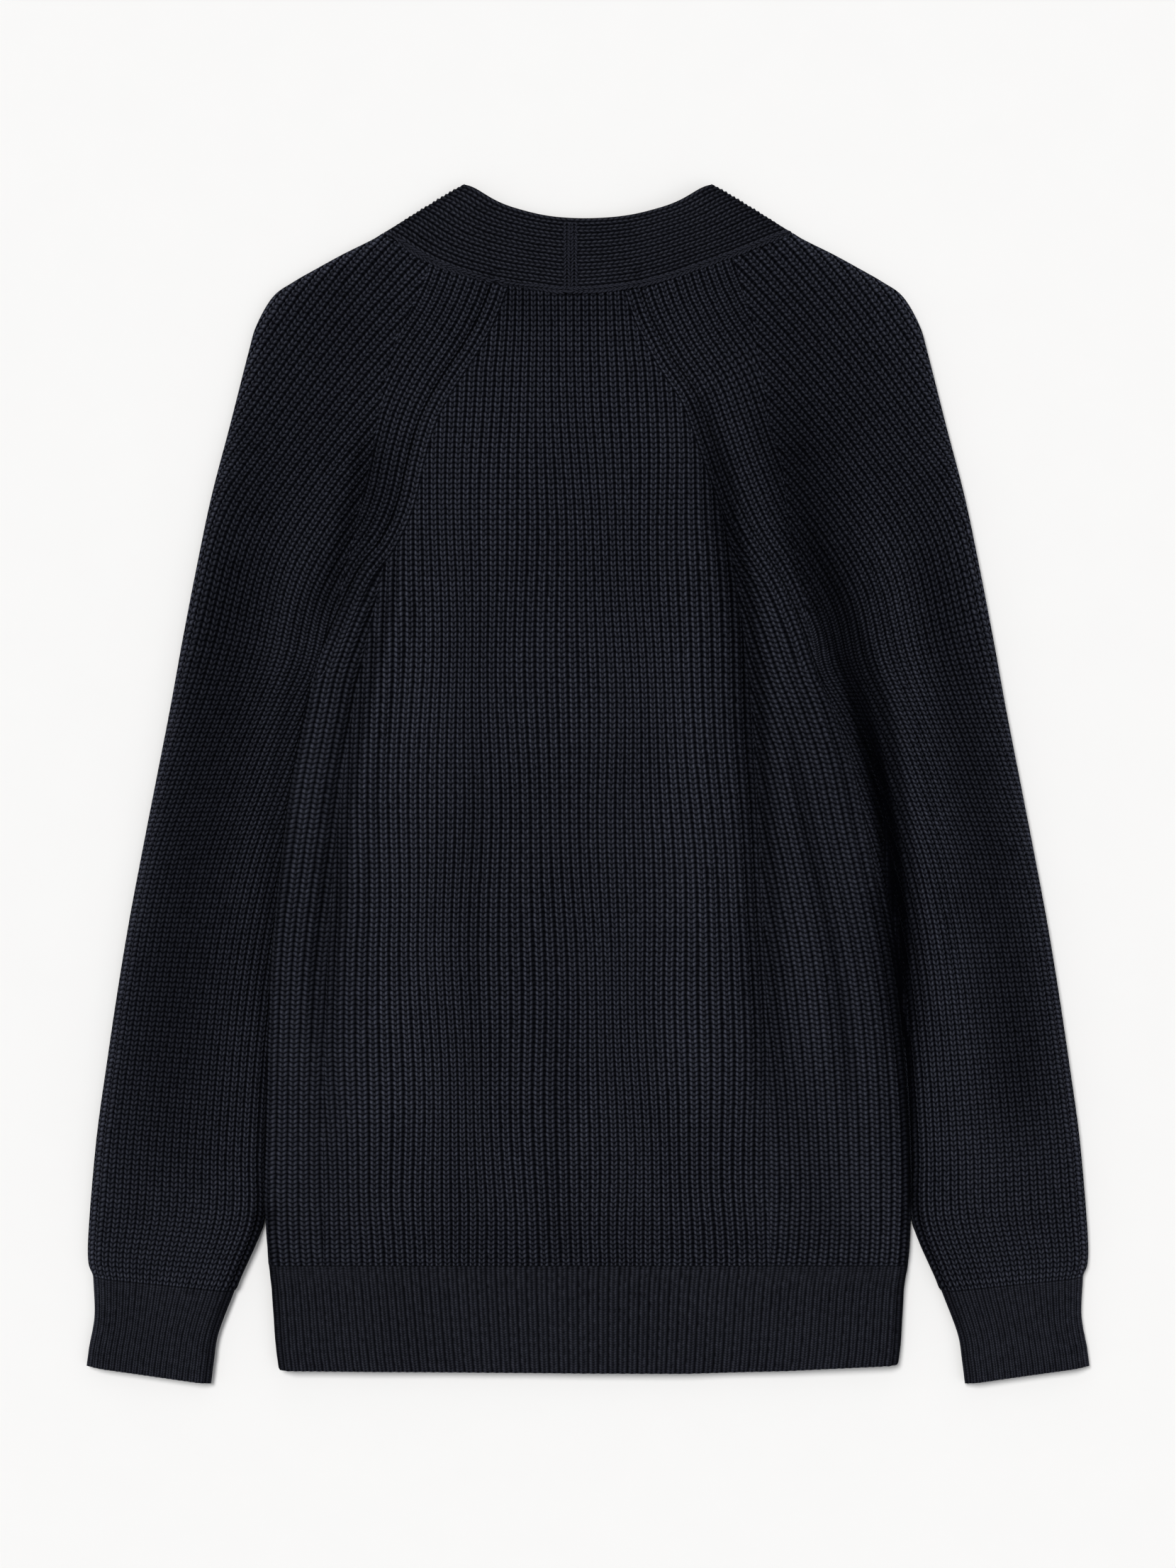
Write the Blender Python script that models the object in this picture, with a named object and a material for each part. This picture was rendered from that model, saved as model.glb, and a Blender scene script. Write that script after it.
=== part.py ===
"""A raglan cardigan in a chunky half-cardigan knit, laid flat and face down, so that its back shows.

Metres, +Z up. +Y runs from the hem to the neck and +X to the wearer's right. The origin is on the surface
that the garment lies on, under the middle of its outline. The back, the upper halves of the sleeves and the
neckband form one upper layer, whose height over the surface is top_height(x, y). The fronts, the lower
halves of the sleeves and the front bands lie flat on the surface under it.
"""

import math

import bmesh
import bpy
import numpy as np

# Cloth
WALL = 0.0022  # knit ground, between two wales
RIB = 0.0010  # how far a wale stands above the ground
FLAT_WALL = 0.0028  # cloth of the lower layer, pressed flat by what lies on it
BAND_WALL = 0.0036  # front bands, whose knit is denser
GAP = 0.0003  # between two pieces
SEAM = 0.0003  # each panel stops this far short of the line that it is linked along
RAGLAN_CLEAR = 0.0005  # the same for the sleeves along the curve of the back's raglan line
UNDER_SEAM = 0.0006  # the same in the lower layer, where the panels have fewer points
BACK_WALES = 64
EVEN_WALES = 22  # wales on each side of the back's middle that keep their pitch
SLEEVE_WALES = 22
BAND_WALES = 9

# Heights over the surface
EDGE_HEIGHT = 0.0055  # where the cloth turns over, at the outline
HALVES_HEIGHT = 0.0034  # where the upper half of a sleeve ends, just over the lower half
SIDE_HEIGHT = 0.0052  # where the back meets the fronts, along the side seams
OUTLINE_ROUND = 0.012  # width of the rounded strip along the outline
SIDE_ROUND = 0.009  # and along the side seams
UNDER_TURN = 0.005  # how far in from the outline the lower layer reaches the surface
TURN_DEPTH = 0.0024  # how far in the wall's inner side lies where the cloth turns over

# Places along the garment
HEM_Y = -0.3560
HEM_TOP_Y = -0.2913
UNDERARM_Y = 0.0690
CENTRE_X = -0.0105  # centre back and centre front, a little to one side as the garment lies
CROSSING_Y = 0.0600  # below this the two front bands lie one over the other
RAGLAN_TOP_Y = 0.268  # where the front's raglan line meets the front band
BAND_WIDTH = 0.0450
OVERLAP = BAND_WALL + GAP  # how far the right front band is lifted where it lies on the left one
NECK_DROP = 0.0070  # the back sinks this far where no front lies under it

# Buttons
BUTTON_YS = (0.030, -0.055, -0.140, -0.225, -0.310)
BUTTON_RADIUS = 0.0100
BUTTON_THICK = 0.0020
BUTTON_HOLE_RADIUS = 0.0010
BUTTON_HOLE_OUT = 0.0022  # from the button's centre to each thread hole, along X and Y
BUTTON_PROFILE = (
    # share of the radius, share of the thickness
    (0.66, 0.25), (0.82, 0.0), (0.95, 0.0), (1.0, 0.60), (0.88, 1.0),
)  # fmt: skip

# Outlines, each a table of (x, y). The sleeves' outlines are the same on both sides, and are given for +X.
SLEEVE_OUTLINE = (
    (0.3040, -0.3525), (0.3025, -0.3415), (0.2995, -0.3250), (0.2990, -0.3100), (0.3000, -0.2985),
    (0.3025, -0.2915), (0.3026, -0.2800), (0.3010, -0.2550), (0.2970, -0.2120), (0.2910, -0.1690),
    (0.2846, -0.1260), (0.2775, -0.0830), (0.2694, -0.0400), (0.2610, 0.0030), (0.2526, 0.0460),
    (0.2450, 0.0880), (0.2367, 0.1310), (0.2277, 0.1740), (0.2165, 0.2170), (0.2055, 0.2604),
    (0.2005, 0.2776), (0.1905, 0.2950), (0.1780, 0.3040), (0.1640, 0.3120), (0.1485, 0.3205),
    (0.1310, 0.3292), (0.1240, 0.3335),
)  # fmt: skip
NECK_FOLD = ((0.1240, 0.3335), (0.1047, 0.3464), (0.0860, 0.3583), (0.0750, 0.3636))
NECK_EDGE = (
    (-0.0750, 0.3636), (-0.0690, 0.3610), (-0.0555, 0.3532), (-0.0425, 0.3485), (-0.0230, 0.3443),
    (0.0, 0.3429), (0.0230, 0.3443), (0.0425, 0.3485), (0.0555, 0.3532), (0.0690, 0.3610),
    (0.0750, 0.3636),
)  # fmt: skip
NECK_SEAM = (
    (-0.1240, 0.3335), (-0.0950, 0.3150), (-0.0634, 0.3047), (-0.0300, 0.2995), (-0.0058, 0.2975),
    (0.0380, 0.3025), (0.0823, 0.3171), (0.1240, 0.3335),
)  # fmt: skip
# From the neck down the raglan to the underarm, then down the side to the hem
LEFT_SEAM = (
    (-0.0560, 0.3100), (-0.0640, 0.2880), (-0.0742, 0.2680), (-0.0897, 0.2440), (-0.1008, 0.2230),
    (-0.1080, 0.2000), (-0.1150, 0.1700), (-0.1245, 0.1490), (-0.1391, 0.1290), (-0.1529, 0.1008),
    (-0.1655, 0.0690), (-0.1715, 0.0430), (-0.1795, 0.0002), (-0.1860, -0.0500), (-0.1912, -0.1030),
    (-0.1945, -0.1700), (-0.1960, -0.2340), (-0.1956, -0.2620), (-0.1938, -0.2900), (-0.1920, -0.3072),
    (-0.1897, -0.3416), (-0.1880, -0.3560),
)  # fmt: skip
RIGHT_SEAM = (
    (0.0290, 0.3100), (0.0362, 0.2880), (0.0420, 0.2750), (0.0510, 0.2580), (0.0655, 0.2354),
    (0.0745, 0.2122), (0.0840, 0.1864), (0.0985, 0.1540), (0.1160, 0.1255), (0.1275, 0.1000),
    (0.1385, 0.0690), (0.1490, 0.0430), (0.1593, 0.0127), (0.1675, -0.0234), (0.1780, -0.0700),
    (0.1865, -0.1150), (0.1925, -0.1700), (0.1952, -0.2200), (0.1958, -0.2620), (0.1942, -0.2900),
    (0.1918, -0.3072), (0.1900, -0.3416), (0.1885, -0.3560),
)  # fmt: skip
# A sleeve's inner side, from where it leaves the body's side down to the edge of the cuff, given for +X
SLEEVE_INSIDE = (
    (0.1958, -0.2620), (0.2005, -0.2770), (0.2066, -0.2900), (0.2110, -0.2990), (0.2144, -0.3072),
    (0.2182, -0.3158), (0.2217, -0.3244), (0.2240, -0.3330), (0.2257, -0.3416), (0.2268, -0.3500),
    (0.2285, -0.3636),
)  # fmt: skip

# Height of the upper layer over the surface, by y
BODY_HEIGHT = (
    # y, height
    (-0.357, 0.0116), (-0.330, 0.0124), (-0.290, 0.0136), (-0.220, 0.0148), (0.120, 0.0148), (0.345, 0.0135),
)  # fmt: skip
SLEEVE_HEIGHT = (
    # y, height
    (-0.363, 0.0104), (-0.330, 0.0114), (-0.300, 0.0128), (-0.260, 0.0165), (-0.150, 0.0190),
    (0.080, 0.0195), (0.200, 0.0165), (0.280, 0.0135), (0.330, 0.0112),
)  # fmt: skip

# The largest folds: name, half width, height (a trough is negative), and the line that each follows
FOLDS = (
    ("back, left trough", 0.012, -0.0050,
     ((-0.113, 0.180), (-0.124, 0.118), (-0.135, 0.072), (-0.1455, 0.023), (-0.151, -0.009),
      (-0.156, -0.066), (-0.161, -0.127), (-0.159, -0.220))),
    ("back, left ridge", 0.012, 0.0035,
     ((-0.105, 0.180), (-0.111, 0.113), (-0.120, 0.072), (-0.129, 0.034), (-0.1375, -0.030),
      (-0.141, -0.082), (-0.145, -0.170))),
    ("back, right trough", 0.015, -0.0062,
     ((0.061, 0.240), (0.073, 0.205), (0.080, 0.170), (0.087, 0.138), (0.094, 0.104), (0.099, 0.060),
      (0.101, 0.0), (0.105, -0.080), (0.109, -0.170), (0.110, -0.250))),
    ("back, right ridge", 0.016, 0.0025,
     ((0.050, 0.220), (0.060, 0.138), (0.066, 0.070), (0.068, 0.0), (0.068, -0.080), (0.066, -0.190))),
    ("back, underarm ridge", 0.012, 0.0045,
     ((0.112, 0.135), (0.124, 0.095), (0.134, 0.060), (0.145, 0.010), (0.154, -0.032), (0.163, -0.075),
      (0.170, -0.115), (0.175, -0.200))),
    ("back, small right trough", 0.009, -0.0035,
     ((0.118, 0.055), (0.125, 0.011), (0.1335, -0.032), (0.142, -0.075), (0.148, -0.110),
      (0.154, -0.167), (0.163, -0.245))),
    ("left sleeve, underarm trough", 0.014, -0.0055,
     ((-0.126, 0.225), (-0.134, 0.185), (-0.141, 0.150), (-0.152, 0.115), (-0.163, 0.075))),
    ("left sleeve, inner ridge", 0.014, 0.0030,
     ((-0.166, 0.180), (-0.178, 0.110), (-0.190, 0.050), (-0.200, -0.010), (-0.206, -0.070),
      (-0.210, -0.130), (-0.213, -0.210))),
    ("left sleeve, outer trough", 0.022, -0.0030,
     ((-0.200, 0.190), (-0.212, 0.110), (-0.228, 0.030), (-0.242, -0.040), (-0.253, -0.110),
      (-0.262, -0.200))),
    ("right sleeve, underarm trough", 0.015, -0.0100,
     ((0.112, 0.215), (0.122, 0.170), (0.138, 0.125), (0.157, 0.080), (0.170, 0.045), (0.177, 0.010),
      (0.181, -0.020), (0.185, -0.060), (0.188, -0.095), (0.192, -0.150), (0.196, -0.230))),
    ("right sleeve, inner ridge", 0.015, 0.0045,
     ((0.140, 0.190), (0.163, 0.125), (0.183, 0.060), (0.194, 0.002), (0.2010, -0.049),
      (0.2075, -0.100), (0.212, -0.190))),
    ("right sleeve, outer trough", 0.017, -0.0035,
     ((0.192, 0.150), (0.206, 0.080), (0.216, 0.010), (0.224, -0.060), (0.232, -0.130), (0.243, -0.210))),
)  # fmt: skip

# Stations of a sleeve from the cuff's top to the underarm: the y of the point on its inner side, then the y
# of the one across from it on the outline
SLEEVE_STATIONS = (
    (-0.3072, -0.2985), (-0.2913, -0.2850), (-0.2620, -0.2550), (-0.2250, -0.2180), (-0.1880, -0.1810),
    (-0.1510, -0.1460), (-0.1140, -0.1110), (-0.0770, -0.0765), (-0.0400, -0.0420), (-0.0030, -0.0050),
    (0.0240, 0.0250), (0.0470, 0.0510), (0.0690, 0.0880),
)  # fmt: skip
# Rows of points along each piece
# y of the sleeve's rows along its outline, up to the neck fold
OUTLINE_ROW_YS = (
    -0.2985, -0.2800, -0.2300, -0.1500, -0.0650, 0.0200, 0.0950, 0.1650, 0.2250, 0.2680, 0.2900, 0.3110,
    0.3335,
)  # fmt: skip
HEM_YS = (HEM_Y, -0.3240, HEM_TOP_Y - GAP)
FRONT_RAGLAN_YS = (0.110, 0.145, 0.180, 0.218, 0.256)
CUFF_INSIDE = ((0.2144, -0.3072 - GAP), (0.2236, -0.3320), (0.2285, -0.3636))
CUFF_OUTLINE = ((0.3003, -0.2985 - GAP), (0.2992, -0.3220), (0.3040, -0.3525))
NECK_ROWS = 10

COLOURS = {
    # finish: (base colour, roughness)
    "navy_knit": ((0.0105, 0.0115, 0.0170), 0.85),
    "navy_rib": ((0.0100, 0.0110, 0.0160), 0.85),
    "navy_button": ((0.0080, 0.0085, 0.0110), 0.35),
}


def smooth_path(points, steps=6):
    """A Catmull-Rom curve through the points, as an array of (x, y)."""
    p = np.array(points, float)
    p = np.vstack([2 * p[0] - p[1], p, 2 * p[-1] - p[-2]])
    t = np.linspace(0, 1, steps, endpoint=False)[:, None]
    runs = [
        0.5 * (2 * b + (c - a) * t + (2 * a - 5 * b + 4 * c - d) * t**2 + (3 * b - a - 3 * c + d) * t**3)
        for a, b, c, d in zip(p[:-3], p[1:-2], p[2:-1], p[3:])
    ]
    return np.vstack([*runs, p[-2][None]])


def mirrored(points):
    return [(-x, y) for x, y in points]


def smoothstep(value, low, high):
    t = np.clip((value - low) / (high - low), 0, 1)
    return t * t * (3 - 2 * t)


def by_y(path):
    """x as a function of y, for a path that only rises or only falls."""
    path = path[np.argsort(path[:, 1])]
    return lambda y: np.interp(y, path[:, 1], path[:, 0])


def by_x(path):
    path = path[np.argsort(path[:, 0])]
    return lambda x: np.interp(x, path[:, 0], path[:, 1])


OUTLINE = {"right": smooth_path(SLEEVE_OUTLINE), "left": smooth_path(mirrored(SLEEVE_OUTLINE))}
SIDE = {"left": smooth_path(LEFT_SEAM), "right": smooth_path(RIGHT_SEAM)}
INSIDE = {"right": smooth_path(SLEEVE_INSIDE), "left": smooth_path(mirrored(SLEEVE_INSIDE))}
FOLD_LINE = {"right": smooth_path(NECK_FOLD), "left": smooth_path(mirrored(NECK_FOLD))}
seam_x = {side: by_y(path) for side, path in SIDE.items()}
neck_seam_y = by_x(smooth_path(NECK_SEAM))
neck_edge_y = by_x(smooth_path(NECK_EDGE))
SIGN = {"left": -1, "right": 1}


def distance_along(x, y, path):
    """Distance from each point to a path, and how far along the path its nearest point is, from 0 to 1."""
    start, step = path[:-1], np.diff(path, axis=0)
    length = np.hypot(step[:, 0], step[:, 1])
    dx = np.subtract.outer(x, start[:, 0])
    dy = np.subtract.outer(y, start[:, 1])
    t = np.clip((dx * step[:, 0] + dy * step[:, 1]) / length**2, 0, 1)
    gap = np.hypot(dx - t * step[:, 0], dy - t * step[:, 1])
    nearest = gap.argmin(-1)
    before = np.concatenate([[0], np.cumsum(length)])
    part = np.take_along_axis(t, nearest[..., None], -1)[..., 0]
    along = (before[nearest] + part * length[nearest]) / before[-1]
    return gap.min(-1), along


FOLD_PATHS = [(half, height, smooth_path(line, 4)) for _, half, height, line in FOLDS]
SIDE_BELOW = {side: path[path[:, 1] < UNDERARM_Y] for side, path in SIDE.items()}
# Above the first of these heights the cloth runs on level over the side seam; below the second it turns down
SIDE_FADE = {"left": (0.150, 0.020), "right": (0.000, -0.130)}


def rounded(height, base, distance, width):
    """A height that comes down to base over the given width beside a line."""
    return base + (height - base) * np.sin(np.pi / 2 * np.clip(distance / width, 0, 1))


def top_height(x, y):
    """Height of the upper layer's knit ground over the surface."""
    x, y = np.asarray(x, float), np.asarray(y, float)
    body = np.interp(y, *zip(*BODY_HEIGHT))
    sink = NECK_DROP * smoothstep(y, 0.14, 0.29)
    body = body - sink * np.exp(-(((x - CENTRE_X) / 0.060) ** 2))
    sleeve = np.interp(y, *zip(*SLEEVE_HEIGHT))
    beyond = np.maximum(seam_x["left"](y) - x, x - seam_x["right"](y))
    share = smoothstep(beyond, 0.0, 0.040)
    height = body * (1 - share) + sleeve * share
    for half, rise, path in FOLD_PATHS:
        distance, along = distance_along(x, y, path)
        ends = smoothstep(along, 0, 0.22) * (1 - smoothstep(along, 0.72, 1))
        height = height + rise * ends * (0.5 + 0.5 * np.cos(np.pi * np.clip(distance / half, 0, 1)))
    for side in ("left", "right"):
        turned = rounded(height, SIDE_HEIGHT, distance_along(x, y, SIDE_BELOW[side])[0], SIDE_ROUND)
        fade = 1 - smoothstep(y, SIDE_FADE[side][1], SIDE_FADE[side][0])
        height = height * (1 - fade) + turned * fade
        for path, width in (
            (OUTLINE[side], OUTLINE_ROUND),
            (FOLD_LINE[side], OUTLINE_ROUND),
            (INSIDE[side], SIDE_ROUND),
        ):
            height = rounded(height, EDGE_HEIGHT, distance_along(x, y, path)[0], width)
    return height


def on_top(x, y, rise=0.0):
    """Points on the upper layer's outer side, raised by rise."""
    return np.stack([x, y, top_height(x, y) + rise], -1)


def under_top(x, y, floor, plumb=False):
    """Points on the upper layer's inner side, a wall's thickness in from the outer side and clear of floor.

    Where plumb is true a point lies straight under its outer one, as it must along a seam."""
    e = 0.0005
    lean = np.where(plumb, 0.0, 1.0)
    slope_x = lean * (top_height(x + e, y) - top_height(x - e, y)) / (2 * e)
    slope_y = lean * (top_height(x, y + e) - top_height(x, y - e)) / (2 * e)
    size = np.sqrt(1 + slope_x**2 + slope_y**2)
    z = np.maximum(top_height(x, y) - WALL / size, floor)
    return np.stack([x + WALL * slope_x / size, y + WALL * slope_y / size, z], -1)


def lengths(path):
    """Distance along a path at each of its points."""
    return np.concatenate([[0], np.cumsum(np.hypot(*np.diff(path, axis=0).T))])


class Cloth:
    """Collects the points and faces of one closed piece of cloth."""

    def __init__(self):
        self.points = []
        self.faces = []

    def rows(self, grid):
        """Adds the points, row by row, and returns their numbers."""
        numbered = []
        for line in grid:
            first = len(self.points)
            self.points.extend(tuple(float(v) for v in point) for point in line)
            numbered.append(list(range(first, len(self.points))))
        return numbered

    def shares(self, row):
        """How far along a row each of its points is, seen from above, from 0 to 1."""
        run = lengths(np.array([self.points[v][:2] for v in row]))
        return run / run[-1]

    def join(self, a, b):
        """Triangles between two rows, which may differ in count. Points across from each other meet."""
        along_a, along_b = self.shares(a), self.shares(b)
        i = j = 0
        while i < len(a) - 1 or j < len(b) - 1:
            last_a, last_b = i == len(a) - 1, j == len(b) - 1
            if last_b or (not last_a and along_a[i] + along_a[i + 1] <= along_b[j] + along_b[j + 1]):
                self.faces.append((a[i], a[i + 1], b[j]))
                i += 1
            else:
                self.faces.append((a[i], b[j + 1], b[j]))
                j += 1

    def skin(self, rows):
        for a, b in zip(rows, rows[1:]):
            self.join(a, b)

    def sheet(self, outer, inner):
        """A wall between an outer and an inner grid, closed round its four edges."""
        outer, inner = self.rows(outer), self.rows(inner)
        self.skin(outer)
        self.skin(inner)
        self.join(outer[0], inner[0])
        self.join(outer[-1], inner[-1])
        for end in (0, -1):
            self.join([row[end] for row in outer], [row[end] for row in inner])

    def tube(self, outer, inner):
        """A wall between two grids whose rows are rings, open at both ends."""
        outer = [row + row[:1] for row in self.rows(outer)]
        inner = [row + row[:1] for row in self.rows(inner)]
        self.skin(outer)
        self.skin(inner)
        self.join(outer[0], inner[0])
        self.join(outer[-1], inner[-1])


def finish(name, finish_name):
    material = bpy.data.materials.get(finish_name)
    if material is None:
        colour, roughness = COLOURS[finish_name]
        material = bpy.data.materials.new(finish_name)
        material.use_nodes = True
        shader = material.node_tree.nodes["Principled BSDF"]
        shader.inputs["Base Color"].default_value = (*colour, 1)
        shader.inputs["Roughness"].default_value = roughness
        shader.inputs["Metallic"].default_value = 0
    bpy.data.objects[name].data.materials.append(material)


def add_object(name, points, faces, finish_name):
    """A named object whose faces all point outwards."""
    mesh = bpy.data.meshes.new(name)
    mesh.from_pydata(points, [], faces)
    work = bmesh.new()
    work.from_mesh(mesh)
    bmesh.ops.recalc_face_normals(work, faces=work.faces)
    work.to_mesh(mesh)
    work.free()
    mesh.shade_smooth()
    mesh.set_sharp_from_angle(angle=math.radians(50))
    placed = bpy.data.objects.new(name, mesh)
    bpy.context.scene.collection.objects.link(placed)
    finish(name, finish_name)
    return placed


def wale_x(wale, y):
    """x of a wale line of the back at height y. Wales crowd together in the folds at the sides."""
    pitch = np.interp(y, (-0.30, 0.10, 0.30), (0.0059, 0.0058, 0.0050))
    middle = np.interp(y, (-0.30, 0.30), (0.0, -0.013))
    low_y = np.minimum(y, UNDERARM_Y)
    left = seam_x["left"](low_y) + SEAM
    right = seam_x["right"](low_y) - SEAM
    crowded = BACK_WALES / 2 - EVEN_WALES
    from_middle = wale - BACK_WALES / 2
    share = np.clip((np.abs(from_middle) - EVEN_WALES) / crowded, 0, 1)
    kept = middle + np.clip(from_middle, -EVEN_WALES, EVEN_WALES) * pitch
    edge = np.where(from_middle < 0, left, right)
    return kept + (edge - kept) * share


def wale_top_y(wale):
    """The height at which a wale of the back meets the raglan line or the neckband."""
    y = np.linspace(UNDERARM_Y, 0.312, 400)
    x = wale_x(wale, y)
    outside = (x < seam_x["left"](y) + SEAM) | (x > seam_x["right"](y) - SEAM) | (y > neck_seam_y(x) - SEAM)
    if not outside.any():
        return y[-1]
    return y[int(outside.argmax())]


def back_grid(wales, side_ys, slanted):
    """Points up the given wales. The rows meet the side seams at side_ys. If slanted, each wale runs on to
    the raglan line or the neck, its rows spread in proportion."""
    bottom, top = side_ys[0], side_ys[-1]
    tops = np.array([wale_top_y(w) for w in wales]) if slanted else np.full(len(wales), top)
    y = np.array([bottom + (tops - bottom) * (side_y - bottom) / (top - bottom) for side_y in side_ys])
    return np.array([wale_x(wales, line) for line in y]), y


def ribbed(count, halves=2):
    """Numbers of the valleys and crests of so many wales, and the rise of each."""
    wales = np.arange(count * halves + 1) / halves
    return wales, np.where(np.arange(len(wales)) % 2, RIB, 0.0)


def make_back_piece(name, finish_name, side_ys, slanted):
    wales, rise = ribbed(BACK_WALES)
    x, y = back_grid(wales, side_ys, slanted)
    outer = on_top(x, y, rise)
    x, y = back_grid(wales[::2], side_ys, slanted)
    edge = np.ones(x.shape, bool)
    edge[1:-1, 1:-1] = False
    inner = under_top(x, y, FLAT_WALL + GAP, edge)
    cloth = Cloth()
    cloth.sheet(outer, inner)
    add_object(name, cloth.points, cloth.faces, finish_name)


def along_path(path, share):
    """Points at the given shares of a path's length."""
    run = lengths(path)
    at = np.asarray(share) * run[-1]
    return np.stack([np.interp(at, run, path[:, 0]), np.interp(at, run, path[:, 1])], -1)


def sleeve_sides(side):
    """A sleeve's inner side from the cuff to the underarm, and its outline from the cuff to there."""
    sign = SIGN[side]
    outline_x = by_y(OUTLINE[side][: 6 * (len(SLEEVE_OUTLINE) - 7)])
    inside_x = by_y(INSIDE[side])
    inner, outer = [], []
    for y_in, y_out in SLEEVE_STATIONS:
        x_in = inside_x(y_in) if y_in < -0.262 else seam_x[side](y_in)
        inner.append((x_in + sign * SEAM, y_in))
        outer.append((outline_x(y_out), y_out))
    return smooth_path(inner, 10), smooth_path(outer, 10)


def sleeve_wale(side, share, top_edge):
    """The line of a sleeve's wale, share of the way from the inner side to the outline. Above the underarm
    the wales spread along top_edge, which runs from the underarm to the neck fold."""
    inner, outer = sleeve_sides(side)
    low = inner + (outer - inner) * share
    if share == 0:
        return low
    underarm, across = inner[-1], outer[-1]
    outline = OUTLINE[side]
    v = np.linspace(0, 1, 40)[1:]
    rim = along_path(np.vstack([outer[-1:], outline[outline[:, 1] > across[1] + 0.001]]), v)
    end = along_path(top_edge, share)
    v = v[:, None]
    # From the row across the underarm to the top edge, while the sides go from the underarm to the outline
    upper = underarm + v * (end - underarm - (rim[-1] - underarm) * share) + share * (rim - underarm)
    return np.vstack([low, upper])


def back_edge(side):
    """From the underarm up the raglan line and out along the neckband's seam, just clear of the back."""
    sign = SIGN[side]
    path = SIDE[side]
    path = path[(path[:, 1] > UNDERARM_Y) & (path[:, 1] < neck_seam_y(path[:, 0]) - SEAM)][::-1]
    raglan = path + np.array([sign * RAGLAN_CLEAR, 0])
    xs = sign * np.linspace(abs(raglan[-1][0]) + SEAM, NECK_FOLD[0][0], 24)
    neck = np.stack([xs, neck_seam_y(xs) - SEAM], -1)
    start = (seam_x[side](UNDERARM_Y) + sign * SEAM, UNDERARM_Y)
    return np.vstack([[start], raglan, neck[:-1], [(sign * NECK_FOLD[0][0], NECK_FOLD[0][1])]])


def front_edge(side, y):
    """x of the front band's outer edge at y, from the neck fold down to the hem."""
    sign = SIGN[side]
    fold_x, fold_y = NECK_FOLD[0]
    low_x = CENTRE_X + sign * BAND_WIDTH / 2
    return np.interp(y, (CROSSING_Y, fold_y), (low_x, sign * fold_x))


def front_raglan_x(side, y):
    """x of the line between a front and the lower half of its sleeve."""
    top_x = front_edge(side, RAGLAN_TOP_Y)
    return np.interp(y, (UNDERARM_Y, RAGLAN_TOP_Y), (seam_x[side](UNDERARM_Y), top_x))


def front_side_edge(side):
    """The same for the lower layer: up the front's raglan line, then up the front band's outer edge."""
    sign = SIGN[side]
    start = (seam_x[side](UNDERARM_Y) + sign * SEAM, UNDERARM_Y)
    ys = np.linspace(UNDERARM_Y, RAGLAN_TOP_Y, 12)[1:]
    raglan = [(front_raglan_x(side, y) + sign * UNDER_SEAM, y) for y in ys]
    ys = np.linspace(RAGLAN_TOP_Y, NECK_FOLD[0][1] - 0.004, 8)[1:]
    band = [(front_edge(side, y) + sign * UNDER_SEAM, y) for y in ys]
    return np.array([start, *raglan, *band, (sign * NECK_FOLD[0][0], NECK_FOLD[0][1])])


# The lower half of a sleeve's ring, from the outline back to the inner side: which edge the place is counted
# from (or a share of the way across), the place and height of the outer side, and of the inner side
TURNED_RING = (
    ("out", 0.0010, 0.0022, 0.0034, 0.0030),
    ("out", UNDER_TURN, 0.0, 0.0064, FLAT_WALL),
    ("share", 0.70, 0.0, 0.70, FLAT_WALL),
    ("share", 0.30, 0.0, 0.30, FLAT_WALL),
    ("in", UNDER_TURN, 0.0, 0.0064, FLAT_WALL),
    ("in", 0.0010, 0.0022, 0.0034, 0.0030),
)


def sleeve_ring(upper_xy, lower_xy, rise, inner_side, at_end):
    """One ring of points, in two parts: the wales over the top, then the lower half back to the start.
    lower_xy gives the point of the lower layer at a share of the way across."""
    x, y = upper_xy[:, 0], upper_xy[:, 1]
    if inner_side:
        upper = under_top(x, y, FLAT_WALL + GAP, at_end)
        across = np.array([x[-2] - x[-1], y[-2] - y[-1]])
        for end, away in ((0, np.array([np.sign(x[0]), 0.0])), (-1, across / np.hypot(*across))):
            upper[end] = (x[end] + away[0] * TURN_DEPTH, y[end] + away[1] * TURN_DEPTH, EDGE_HEIGHT)
    else:
        upper = on_top(x, y, rise)
    width = np.hypot(*(lower_xy(1.0) - lower_xy(0.0)))
    lower = []
    for kind, at, height, at_inner, height_inner in TURNED_RING:
        place, z = (at_inner, height_inner) if inner_side else (at, height)
        share = {"share": place, "out": 1 - place / width, "in": place / width}[kind]
        lower.append((*lower_xy(share), z))
    return [*upper], lower


def sleeve_halves(ring_parts, lower_xy, inner_side):
    """The ring of a sleeve, parted along its two sides: the upper half's row and the lower half's."""
    upper, lower = ring_parts
    width = np.hypot(*(lower_xy(1.0) - lower_xy(0.0)))
    ends = [(*upper[end][:2], HALVES_HEIGHT) for end in (0, -1)]
    upper = [ends[0], *(upper[1:-1] if inner_side else upper), ends[1]]
    moved = TURN_DEPTH / width if inner_side else 0.0
    low_z = HALVES_HEIGHT - GAP
    return upper, [(*lower_xy(1 - moved), low_z), *lower, (*lower_xy(moved), low_z)]


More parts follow.
